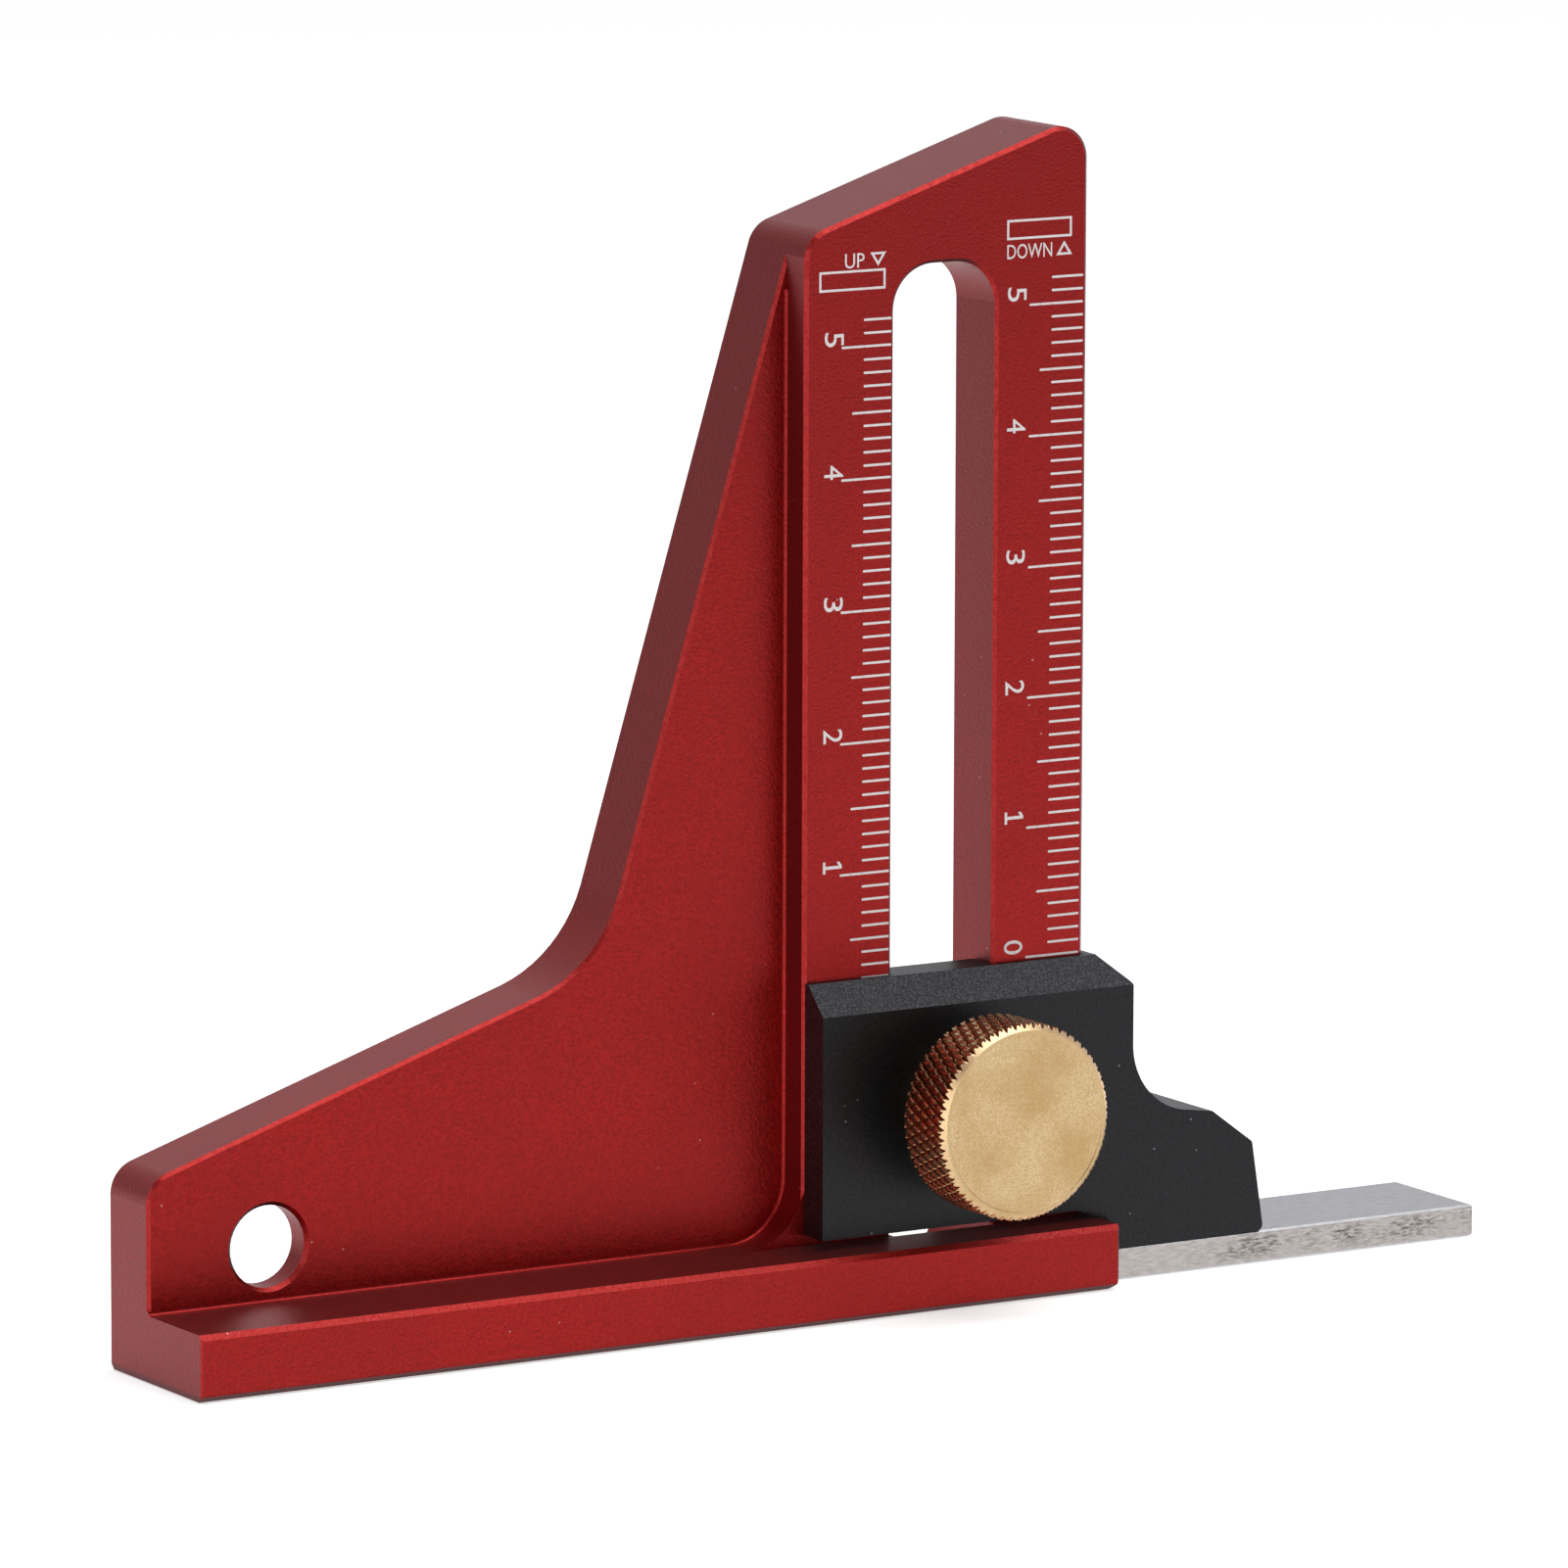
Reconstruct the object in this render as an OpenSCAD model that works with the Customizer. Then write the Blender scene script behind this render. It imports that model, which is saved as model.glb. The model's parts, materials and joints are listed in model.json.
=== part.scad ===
// Woodworking height gauge: a one-piece machined body with a slotted post, and
// a slider that carries a flat measuring bar up and down the post. A knurled
// thumb screw through the slider pulls a tee nut against the back of the slot.
// Lengths are in mm. X runs along the foot towards the measuring bar, Y from
// the scale side to the back, Z up from the surface that the foot stands on.

/* [Foot] */

// Length of the foot, up to the post's right face
foot_l = 79.5; // [70:0.5:110]
// Depth of the foot, and of the whole body
foot_d = 14; // [13:0.5:20]
// Height of the foot
foot_t = 5; // [4:0.1:5.4]
// Chamfer along the foot's top front edge
foot_top_chamfer = 0.4; // [0.1:0.05:1]
// Chamfer along the foot's lower edges
foot_low_chamfer = 0.4; // [0.1:0.05:1]
// Break on the foot's upright front edges
foot_end_chamfer = 0.15; // [0.05:0.05:0.6]
// Radius of the foot's lower right corner
foot_end_r = 1; // [0.3:0.1:2]

/* [Web] */

// Thickness of the web behind the foot's pocket
web_t = 5.8; // [4:0.1:7]
// Height of the web at its left end
web_end_h = 14.9; // [13:0.1:20]
// Slope of the web's long lower edge, in degrees
web_slope = 18; // [12:1:22]
// Distance from the bend between the two slopes to the post
web_bend_run = 16.1; // [12:0.1:20]
// Slope of the web's steep edge, in degrees
web_steep = 73; // [70:0.5:74]
// Slope of the post's top edge, in degrees
top_slope = 18; // [8:1:24]
// Distance from the post's left face to the outline's peak
peak_run = 0.5; // [0:0.1:1]
// Radius of the inner corner at the bend
bend_r = 11; // [6:0.5:14]
// Radius of the outline's outer corners
corner_r = 2.5; // [1:0.1:3.5]
// Chamfer round the web's front edge
web_chamfer = 0.25; // [0.1:0.05:0.6]
// Radius left by the cutter where walls meet the web's face
root_r = 0.3; // [0.2:0.05:0.6]

/* [Post] */

// Width of the post
post_w = 25; // [24:0.5:28]
// Thickness of the post
post_t = 8.5; // [8:0.1:9.5]
// Chamfer round the post's front edge
post_chamfer = 0.3; // [0.1:0.05:0.7]
// Radius of the pocket's corner between post and foot
pocket_r = 5; // [3:0.1:8]
// Diameter of the chamfering cutter, seen where its cut ends
chamfer_cutter_d = 4.7; // [3:0.1:6]

/* [Slot] */

// Width of the slot that guides the slider
slot_w = 9; // [7:0.1:10]
// Distance of the slot's middle from the post's, towards the web
slot_shift = 0.2; // [0:0.1:0.6]
// Height of the slot's upper end
slot_top = 79; // [76:0.5:80]
// Height of the slot's lower end
slot_low = 1; // [0.8:0.1:3]
// Radius of the slot's corners
slot_r = 3.5; // [2:0.1:3.5]
// Depth of the slot's cut, from the back
slot_cut_d = 9; // [8.8:0.1:10.4]
// Chamfer round the slot's front edge
slot_chamfer = 0.25; // [0.1:0.05:0.5]
// Width of the nut's recess in the back
recess_w = 16; // [14:0.1:18]
// Depth of the nut's recess
recess_d = 2.85; // [2.8:0.05:3.4]
// Height of the recess's upper end
recess_top = 80.5; // [79:0.5:81]
// Height of the recess's lower end
recess_low = 7; // [5:0.1:9]

/* [Hanging hole] */

// Distance from the left end to the hole
hole_x = 10.1; // [8:0.1:16]
// Height of the hole
hole_z = 9.1; // [8.5:0.1:9.8]
// Diameter of the hole
hole_d = 6.2; // [4:0.1:6.6]
// Thickness of the lip that the hole goes through
hole_lip = 2.2; // [1.2:0.1:3]
// Diameter of the counterbore behind the lip
hole_back_d = 11.6; // [8:0.1:11.6]
// Chamfer at the hole's rims
hole_chamfer = 0.3; // [0.1:0.05:0.4]

/* [Slider] */

// Thickness of the plate on the post's front
slider_t = 2.65; // [2.4:0.05:3.2]
// Height of the slider
slider_h = 19.3; // [18:0.1:22]
// Height of the slider's lower edge above the table
slider_low = 5.8; // [5.7:0.1:6.5]
// Distance of the slider's left edge inside the post's
slider_inset = 0.1; // [0:0.1:0.6]
// Thickness of the flank beside the post
flank_t = 2.9; // [2.4:0.1:4]
// Depth of the flank, arm and bar from front to back
arm_d = 10.5; // [9:0.1:11]
// Bevel along the slider's top front edge
top_bevel = 2.2; // [1:0.1:2.4]
// Bevel on the slider's upper right corner
side_bevel = 2.1; // [1:0.1:2.4]
// Depth of the tongue that runs in the slot
tongue_d = 2.7; // [2:0.1:2.8]
// Height of the arm at the end of its ledge
arm_h = 12.35; // [11.5:0.05:13.5]
// Length of the ledge on top of the arm
ledge_l = 7.3; // [6.8:0.1:8]
// Fall of the ledge, in degrees
ledge_fall = 8; // [4:1:12]
// Radius between flank and ledge
ledge_r = 5.6; // [4:0.1:6]
// Length of the ramp at the arm's end
ramp_l = 3.7; // [3:0.1:4.4]
// Fall of the ramp, in degrees
ramp_fall = 36.6; // [30:0.2:40]
// Reach of the arm beyond the post
arm_reach = 15; // [14.8:0.1:17]
// Radius of the arm's end corners
arm_r = 0.5; // [0.2:0.1:0.8]
// Gap between the foot's end and the arm's leg
leg_gap = 0.8; // [0.6:0.1:1.2]
// Radius of the inner corner above the leg
leg_r = 1.4; // [0.8:0.1:1.6]

/* [Measuring bar] */

// Length of the bar
bar_l = 33.8; // [28:0.1:50]
// Thickness of the bar
bar_t = 2.5; // [2.2:0.1:3]
// Break on the bar's edges
bar_break = 0.15; // [0.05:0.05:0.3]
// Diameter of the bar's screws
bar_screw_d = 2.5; // [2:0.1:3]
// Length of the bar's screws
bar_screw_l = 6; // [5:0.5:7]
// Diameter of the screw heads
bar_head_d = 4.7; // [4:0.1:5]
// Depth of the heads below the bar's face
bar_head_sink = 0.1; // [0.05:0.05:0.2]
// Width across the flats of the screws' sockets
socket_w = 1.5; // [1.2:0.1:2]
// Depth of the screws' sockets
socket_d = 0.9; // [0.5:0.1:1]
// Distance from the bar's end to the first screw
bar_screw_x = 4; // [3.6:0.1:5]
// Distance between the bar's screws
bar_screw_pitch = 6; // [5.4:0.1:7]

/* [Clamp] */

// Height of the thumb screw's axis at rest
knob_z = 15.25; // [14.5:0.05:16]
// Diameter of the knurled head
knob_d = 15.1; // [13:0.1:16]
// Length of the knurled head
knob_l = 5.8; // [4:0.1:7]
// Chamfer at the head's rims
knob_chamfer = 0.45; // [0.2:0.05:0.7]
// Diameter of the neck behind the head
neck_d = 8; // [6:0.1:10]
// Length of the neck
neck_l = 3.5; // [2:0.1:5]
// Diameter of the threaded stud
stud_d = 4; // [3:0.1:5]
// Chamfer at the stud's end
stud_chamfer = 0.4; // [0.2:0.05:0.6]
// Thickness of the nut's flange in the recess
nut_t = 1.9; // [1.6:0.05:2]
// Depth of the nut's boss in the slot
nut_boss_d = 2.2; // [1:0.1:2.3]
// Height of the nut
nut_h = 10; // [8:0.1:12]
// Break on the nut's corners
nut_break = 0.5; // [0.2:0.1:1]

/* [Fits] */

// Gap between sliding faces
slide_gap = 0.05; // [0.03:0.01:0.1]
// Gap on each side of the tongue and nut in the slot
guide_gap = 0.1; // [0.05:0.01:0.2]
// Gap round the stud in the slider's hole
hole_gap = 0.15; // [0.1:0.01:0.3]
// Gap between meshing threads
thread_gap = 0.05; // [0.03:0.01:0.08]

/* [Hidden] */

// Distance that a cutting solid runs past the face it opens
overrun = 0.25;
// Added to each rounding's radius, so that arc and straight cross cleanly
seam = 0.003;
// Distance and turn by which neighbouring cuts run into each other
lap = 0.35;
lap_turn = 5;
// Sides of a full circle where a curve has to be drawn in steps
$fn = 96;
// A nut or socket has this many flats
hex_sides = 6;
// Degrees in a right angle and in a circle
quarter = 90;
round_turn = 360;

// The post, the slot and the web's outline
post_x = foot_l - post_w;
post_y = foot_d - post_t;
web_y = foot_d - web_t;
slot_x = foot_l - post_w / 2 - slot_shift;
bend_x = post_x - web_bend_run;
bend_z = web_end_h + bend_x * tan(web_slope);
peak_x = post_x + peak_run;
peak_z = bend_z + (peak_x - bend_x) * tan(web_steep);
brow_z = peak_z + (foot_l - peak_x) * tan(top_slope);

low_left = [0, 0];
left_top = [0, web_end_h];
bend = [bend_x, bend_z];
peak = [peak_x, peak_z];
brow = [foot_l, brow_z];
low_right = [foot_l, 0];

// The slider's outline
slider_x = post_x + slider_inset;
slider_y = post_y - slide_gap - slider_t;
slider_top = slider_low + slider_h;
flank_x = foot_l + flank_t;
leg_x = foot_l + leg_gap;
ledge_z = arm_h + ledge_l * tan(ledge_fall);
ledge_end = [flank_x + ledge_l, arm_h];
ramp_end = [flank_x + ledge_l + ramp_l, arm_h - ramp_l * tan(ramp_fall)];
arm_end = [foot_l + arm_reach, bar_t];
leg_foot = [leg_x, bar_t];
leg_top = [leg_x, slider_low];
ledge_start = [flank_x, ledge_z];

// The clamp
nut_y = foot_d - recess_d + slide_gap;
stud_end_y = nut_y + nut_t - slide_gap;
neck_y = slider_y - slide_gap - neck_l;
knob_y = neck_y - knob_l;

// Directions and tangent points of a rounded corner at q, between p and s
function unit(v) = v / norm(v);
function half_angle(p, q, s) = acos(unit(p - q) * unit(s - q)) / 2;
function run_of(p, q, s, r) = r / tan(half_angle(p, q, s));
function start_of(p, q, s, r) = q + unit(p - q) * run_of(p, q, s, r);
function end_of(p, q, s, r) = q + unit(s - q) * run_of(p, q, s, r);
function centre_of(p, q, s, r) =
    q + unit(unit(p - q) + unit(s - q)) * r / sin(half_angle(p, q, s));
function heading(v) = atan2(v[1], v[0]);

// A point a little past q on the way from p
function past(p, q) = q + unit(q - p) * lap;

// The drawing's corner is the foot's; the part's own origin is under its middle
module in_part_frame() {
    translate([-foot_l / 2, -foot_d / 2, 0]) children();
}

// A flat outline in X and Z, stood up from depth y to y + d
module standing(y, d) {
    translate([0, y + d, 0]) rotate([quarter, 0, 0]) linear_extrude(d) children();
}

// The small piece between a corner and its arc, taken off outside, added inside
module corner_piece(p, q, s, r) {
    c = centre_of(p, q, s, r);
    difference() {
        polygon([start_of(p, q, s, r), q + unit(q - c) * overrun, end_of(p, q, s, r), c]);
        translate(c) circle(r + seam);
    }
}

// A rectangle with rounded corners, from its lower left to its upper right
module soft_rect(lo, hi, r) {
    a = lo;
    b = [hi[0], lo[1]];
    c = hi;
    d = [lo[0], hi[1]];
    difference() {
        polygon([a, b, c, d]);
        corner_piece(d, a, b, r);
        corner_piece(a, b, c, r);
        corner_piece(b, c, d, r);
        corner_piece(c, d, a, r);
    }
}

// Section of a chamfer's cut: depth behind the face, then distance out of the edge
function cut_section(c) =
    [[-overrun, -c - overrun], [c + overrun, overrun], [-overrun, overrun]];

// Chamfer on the front edge from p to q, at depth y, with the air on its left
module edge_cut(p, q, y, c) {
    translate([p[0], y, p[1]])
        rotate([0, -heading(q - p), 0])
            rotate([quarter, 0, quarter])
                linear_extrude(norm(q - p))
                    polygon(cut_section(c));
}

// Chamfer on a front edge that turns about a centre, with the air outside it
module outer_arc_cut(centre, r, from, to, y, c) {
    translate([centre[0], y, centre[1]])
        rotate([-quarter, 0, 0])
            rotate([0, 0, -to])
                rotate_extrude(angle = to - from)
                    polygon([for (v = cut_section(c)) [r + seam + v[1], v[0]]]);
}

// Chamfer on a front edge that turns about a centre, with the air inside it
module inner_arc_cut(centre, r, from, to, y, c) {
    translate([centre[0], y, centre[1]])
        rotate([-quarter, 0, 0])
            rotate([0, 0, -to - lap_turn])
                rotate_extrude(angle = to - from + 2 * lap_turn)
                    polygon([for (v = cut_section(c)) [r + seam - v[1], v[0]]]);
}

// Outline of the whole body, as it is milled out of one plate
module body_outline() {
    difference() {
        union() {
            polygon([low_left, left_top, bend, peak, brow, low_right]);
            corner_piece(left_top, bend, peak, bend_r);
        }
        corner_piece(low_left, left_top, bend, corner_r);
        corner_piece(bend, peak, brow, corner_r);
        corner_piece(peak, brow, low_right, corner_r);
        corner_piece(brow, low_right, low_left, foot_end_r);
    }
}

// The thin plate that fills the triangle beside the post
module web() {
    left_start = start_of(low_left, left_top, bend, corner_r);
    left_end = end_of(low_left, left_top, bend, corner_r);
    bend_start = start_of(left_top, bend, peak, bend_r);
    bend_end = end_of(left_top, bend, peak, bend_r);
    difference() {
        standing(web_y, web_t) body_outline();
        edge_cut([0, foot_t], past(low_left, left_start), web_y, web_chamfer);
        outer_arc_cut(centre_of(low_left, left_top, bend, corner_r), corner_r,
            quarter + web_slope, 2 * quarter, web_y, web_chamfer);
        edge_cut(past(bend_start, left_end), bend_start, web_y, web_chamfer);
        inner_arc_cut(centre_of(left_top, bend, peak, bend_r), bend_r,
            web_slope - quarter, web_steep - quarter, web_y, web_chamfer);
        edge_cut(bend_end, peak, web_y, web_chamfer);
    }
}

// The thick upright that carries the scales
module post() {
    peak_start = start_of(bend, peak, brow, corner_r);
    peak_end = end_of(bend, peak, brow, corner_r);
    brow_start = start_of(peak, brow, low_right, corner_r);
    brow_end = end_of(peak, brow, low_right, corner_r);
    difference() {
        standing(post_y, post_t) intersection() {
            body_outline();
            translate([post_x, 0]) square([post_w, brow_z]);
        }
        edge_cut([post_x, foot_t + pocket_r], [post_x, peak_z], post_y, post_chamfer);
        edge_cut(peak - unit(peak - bend) * corner_r, past(bend, peak_start),
            post_y, post_chamfer);
        outer_arc_cut(centre_of(bend, peak, brow, corner_r), corner_r,
            quarter + top_slope, quarter + web_steep, post_y, post_chamfer);
        edge_cut(past(brow_start, peak_end), past(peak_end, brow_start), post_y, post_chamfer);
        outer_arc_cut(centre_of(peak, brow, low_right, corner_r), corner_r,
            0, quarter + top_slope, post_y, post_chamfer);
        edge_cut(past(low_right, brow_end), [foot_l, foot_t], post_y, post_chamfer);
    }
}

// The pocket's round corner between post and foot
module pocket_corner() {
    standing(post_y, post_t) difference() {
        translate([post_x - pocket_r, foot_t - overrun])
            square([pocket_r + overrun, pocket_r + overrun]);
        translate([post_x - pocket_r, foot_t + pocket_r]) circle(pocket_r + seam);
    }
}

// Round end of the post's left chamfer, where its cutter stopped
module chamfer_end() {
    cutter_r = chamfer_cutter_d / 2;
    start_r = cutter_r + seam + overrun;
    translate([post_x + post_chamfer - cutter_r, post_y - overrun, foot_t + pocket_r])
        rotate([-quarter, 0, 0])
            cylinder(h = start_r, r1 = start_r, r2 = 0);
}

// Section of the fillet left in an inner corner, as the cutter's own radius
module root_section() {
    difference() {
        translate([-root_r, -root_r]) square([root_r + overrun, root_r + overrun]);
        translate([-root_r, -root_r]) circle(root_r + seam);
    }
}

// Fillet along the web's face, where the foot, pocket and post rise from it
module root_fillet() {
    pocket = [post_x - pocket_r, foot_t + pocket_r];
    root_top = peak_z - (peak_x - post_x + root_r + 2 * web_chamfer) * tan(web_steep);
    translate([0, web_y, foot_t])
        rotate([quarter, 0, quarter])
            linear_extrude(pocket[0] + lap)
                mirror([0, 1, 0])
                    root_section();
    translate([post_x, web_y, pocket[1] - lap])
        linear_extrude(root_top - pocket[1] + lap)
            root_section();
    translate([pocket[0], web_y, pocket[1]])
        rotate([-quarter, 0, 0])
            rotate_extrude(angle = quarter)
                translate([pocket_r + seam, 0]) root_section();
}

// Rim chamfers of the hanging hole, one cone on each face
module hole_rim(y, side, d) {
    translate([hole_x, y, hole_z])
        rotate([side * quarter, 0, 0])
            translate([0, 0, -overrun])
                cylinder(h = d / 2 + hole_chamfer + overrun,
                    r1 = d / 2 + hole_chamfer + overrun, r2 = 0);
}

// One-piece body: foot, web and post, milled all round
module gauge_body() {
    slot_lo = [slot_x - slot_w / 2, slot_low];
    slot_hi = [slot_x + slot_w / 2, slot_top];
    slot_left = slot_lo[0];
    slot_right = slot_hi[0];
    slot_shoulder = slot_top - slot_r;
    color([0.56, 0.13, 0.13])
    in_part_frame()
    difference() {
        union() {
            standing(0, foot_d) intersection() {
                body_outline();
                square([foot_l, foot_t]);
            }
            web();
            post();
            pocket_corner();
            root_fillet();
        }
        // Foot's edges
        translate([-overrun, 0, foot_t])
            rotate([quarter, 0, quarter])
                linear_extrude(foot_l + 2 * overrun) polygon(cut_section(foot_top_chamfer));
        translate([-overrun, 0, 0])
            mirror([0, 0, 1])
                rotate([quarter, 0, quarter])
                    linear_extrude(foot_l + 2 * overrun) polygon(cut_section(foot_low_chamfer));
        translate([-overrun, foot_d, 0])
            rotate([2 * quarter, 0, 0])
                rotate([quarter, 0, quarter])
                    linear_extrude(foot_l + 2 * overrun) polygon(cut_section(foot_low_chamfer));
        edge_cut([0, -overrun], [0, foot_t + overrun], 0, foot_end_chamfer);
        edge_cut([foot_l, foot_t + overrun], [foot_l, -overrun], 0, foot_end_chamfer);
        chamfer_end();
        // Slot from the back, and the nut's wider recess behind it
        standing(foot_d - slot_cut_d, slot_cut_d + overrun) soft_rect(slot_lo, slot_hi, slot_r);
        standing(foot_d - recess_d, recess_d + overrun)
            soft_rect([slot_x - recess_w / 2, recess_low], [slot_x + recess_w / 2, recess_top], slot_r);
        // Chamfer round the slot's front edge
        edge_cut([slot_left, slot_shoulder], [slot_left, foot_t], post_y, slot_chamfer);
        edge_cut([slot_right, foot_t], [slot_right, slot_shoulder], post_y, slot_chamfer);
        edge_cut([slot_right - slot_r, slot_top], [slot_left + slot_r, slot_top],
            post_y, slot_chamfer);
        inner_arc_cut([slot_left + slot_r, slot_shoulder], slot_r, quarter, 2 * quarter,
            post_y, slot_chamfer);
        inner_arc_cut([slot_right - slot_r, slot_shoulder], slot_r, 0, quarter,
            post_y, slot_chamfer);
        // Hanging hole, with its counterbore from the back
        translate([hole_x, web_y - overrun, hole_z])
            rotate([-quarter, 0, 0])
                cylinder(h = web_t + 2 * overrun, r = hole_d / 2);
        translate([hole_x, web_y + hole_lip, hole_z])
            rotate([-quarter, 0, 0])
                cylinder(h = web_t - hole_lip + overrun, r = hole_back_d / 2);
        hole_rim(web_y, -1, hole_d);
        hole_rim(foot_d, 1, hole_back_d);
    }
}

// Outline of the slider, with the arm that steps down to the bar
module slider_outline() {
    low = [slider_x, slider_low];
    top_left = [slider_x, slider_top];
    bevel_start = [flank_x - side_bevel, slider_top];
    bevel_end = [flank_x, slider_top - side_bevel];
    difference() {
        union() {
            polygon([low, top_left, bevel_start, bevel_end, ledge_start, ledge_end, ramp_end,
                arm_end, leg_foot, leg_top]);
            corner_piece(bevel_end, ledge_start, ledge_end, ledge_r);
            corner_piece(leg_foot, leg_top, low, leg_r);
        }
        corner_piece(bevel_start, bevel_end, ledge_start, arm_r);
        corner_piece(ledge_end, ramp_end, arm_end, arm_r);
        corner_piece(ramp_end, arm_end, leg_foot, arm_r);
    }
}

// Holes for the bar's screws, from the table side up
module at_bar_screws() {
    for (i = [0, 1])
        translate([leg_x + bar_screw_x + i * bar_screw_pitch, slider_y + arm_d / 2, 0])
            children();
}

// Slider: plate on the post's front, flank beside it, tongue in the slot, arm below
module slider() {
    tongue_w = slot_w - 2 * guide_gap;
    color([0.15, 0.15, 0.16])
    in_part_frame()
    difference() {
        union() {
            standing(slider_y, slider_t) slider_outline();
            standing(slider_y, arm_d) intersection() {
                slider_outline();
                translate([foot_l + slide_gap, 0]) square([arm_reach, slider_top + overrun]);
            }
            translate([slot_x - tongue_w / 2, slider_y + slider_t - overrun, slider_low])
                cube([tongue_w, tongue_d + slide_gap + overrun, slider_h]);
        }
        // Bevel along the top front edge
        translate([slider_x - overrun, slider_y, slider_top])
            rotate([quarter, 0, quarter])
                linear_extrude(flank_x - slider_x + 2 * overrun) polygon(cut_section(top_bevel));
        // Hole for the stud, and tapped holes for the bar's screws
        translate([slot_x, slider_y - overrun, knob_z])
            rotate([-quarter, 0, 0])
                cylinder(h = slider_t + slide_gap + tongue_d + 2 * overrun,
                    r = stud_d / 2 + hole_gap);
        at_bar_screws()
            translate([0, 0, bar_t - overrun])
                cylinder(h = bar_screw_l - bar_t + bar_head_sink + 2 * overrun,
                    r = bar_screw_d / 2 + thread_gap);
    }
}

// Breaks along one long side of the bar, at its upper and lower edges
module bar_side_breaks() {
    translate([leg_x - overrun, 0, bar_t])
        rotate([quarter, 0, quarter])
            linear_extrude(bar_l + 2 * overrun) polygon(cut_section(bar_break));
    translate([leg_x - overrun, 0, 0])
        mirror([0, 0, 1])
            rotate([quarter, 0, quarter])
                linear_extrude(bar_l + 2 * overrun) polygon(cut_section(bar_break));
}

// Flat bar whose two faces are what the gauge measures with
module measuring_bar() {
    head_r = bar_head_d / 2 + thread_gap;
    end_section = [for (v = cut_section(bar_break)) [v[1], v[0]]];
    color([0.72, 0.72, 0.72])
    in_part_frame()
    difference() {
        translate([leg_x, slider_y, 0]) cube([bar_l, arm_d, bar_t]);
        translate([0, slider_y, 0]) bar_side_breaks();
        translate([0, slider_y + arm_d, 0]) mirror([0, 1, 0]) bar_side_breaks();
        // Breaks across the free end
        translate([leg_x + bar_l, slider_y - overrun, bar_t])
            rotate([-quarter, 0, 0])
                linear_extrude(arm_d + 2 * overrun) polygon(end_section);
        translate([leg_x + bar_l, slider_y + arm_d + overrun, 0])
            rotate([quarter, 0, 0])
                linear_extrude(arm_d + 2 * overrun) polygon(end_section);
        // Countersunk holes for the screws
        at_bar_screws() {
            translate([0, 0, -overrun])
                cylinder(h = bar_t + 2 * overrun, r = bar_screw_d / 2 + thread_gap);
            translate([0, 0, -overrun])
                cylinder(h = bar_head_sink + overrun, r = head_r);
            translate([0, 0, bar_head_sink])
                cylinder(h = head_r, r1 = head_r, r2 = 0);
        }
    }
}

// Two countersunk socket screws that hold the bar to the arm
module bar_screws() {
    head_r = bar_head_d / 2;
    screw_r = bar_screw_d / 2;
    color([0.3, 0.3, 0.31])
    in_part_frame()
    at_bar_screws()
        translate([0, 0, bar_head_sink])
            difference() {
                union() {
                    cylinder(h = head_r - screw_r, r1 = head_r, r2 = screw_r);
                    translate([0, 0, (head_r - screw_r) / 2])
                        cylinder(h = bar_screw_l - (head_r - screw_r) / 2, r = screw_r);
                }
                translate([0, 0, -overrun])
                    cylinder(h = socket_d + overrun,
                        r = socket_w / 2 / cos(round_turn / hex_sides / 2), $fn = hex_sides);
            }
}

// Turned thumb screw: knurled head, neck that bears on the slider, threaded stud
module thumb_screw() {
    knob_r = knob_d / 2;
    stud_l = stud_end_y - neck_y;
    color([0.78, 0.65, 0.4])
    in_part_frame()
    translate([slot_x, knob_y, knob_z])
        rotate([-quarter, 0, 0])
            union() {
                cylinder(h = knob_chamfer, r1 = knob_r - knob_chamfer, r2 = knob_r);
                translate([0, 0, knob_chamfer])
                    cylinder(h = knob_l - 2 * knob_chamfer, r = knob_r);
                translate([0, 0, knob_l - knob_chamfer])
                    cylinder(h = knob_chamfer, r1 = knob_r, r2 = knob_r - knob_chamfer);
                translate([0, 0, knob_l - overrun])
                    cylinder(h = neck_l + overrun, r = neck_d / 2);
                translate([0, 0, knob_l])
                    cylinder(h = stud_l - stud_chamfer, r = stud_d / 2);
                translate([0, 0, knob_l + stud_l - stud_chamfer])
                    cylinder(h = stud_chamfer, r1 = stud_d / 2, r2 = stud_d / 2 - stud_chamfer);
            }
}

// Tee nut: a flange in the recess behind the slot, and a boss inside the slot
module clamp_nut() {
    flange_w = recess_w - 2 * guide_gap;
    boss_w = slot_w - 2 * guide_gap;
    flange_lo = [slot_x - flange_w / 2, knob_z - nut_h / 2];
    boss_lo = [slot_x - boss_w / 2, knob_z - nut_h / 2];
    color([0.62, 0.62, 0.63])
    in_part_frame()
    difference() {
        union() {
            standing(nut_y, nut_t) soft_rect(flange_lo, flange_lo + [flange_w, nut_h], nut_break);
            standing(nut_y - nut_boss_d, nut_boss_d + nut_t / 2)
                soft_rect(boss_lo, boss_lo + [boss_w, nut_h], nut_break);
        }
        translate([slot_x, nut_y - nut_boss_d - overrun, knob_z])
            rotate([-quarter, 0, 0])
                cylinder(h = nut_boss_d + nut_t + 2 * overrun, r = stud_d / 2 + thread_gap);
    }
}

gauge_body();
slider();
measuring_bar();
bar_screws();
thumb_screw();
clamp_nut();
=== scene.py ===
# Woodworking height gauge: a red anodised body with two millimetre scales, a black slider
# with a flat steel bar, and a knurled brass thumb screw. Metres, in the part's own frame.
import json
import math

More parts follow.
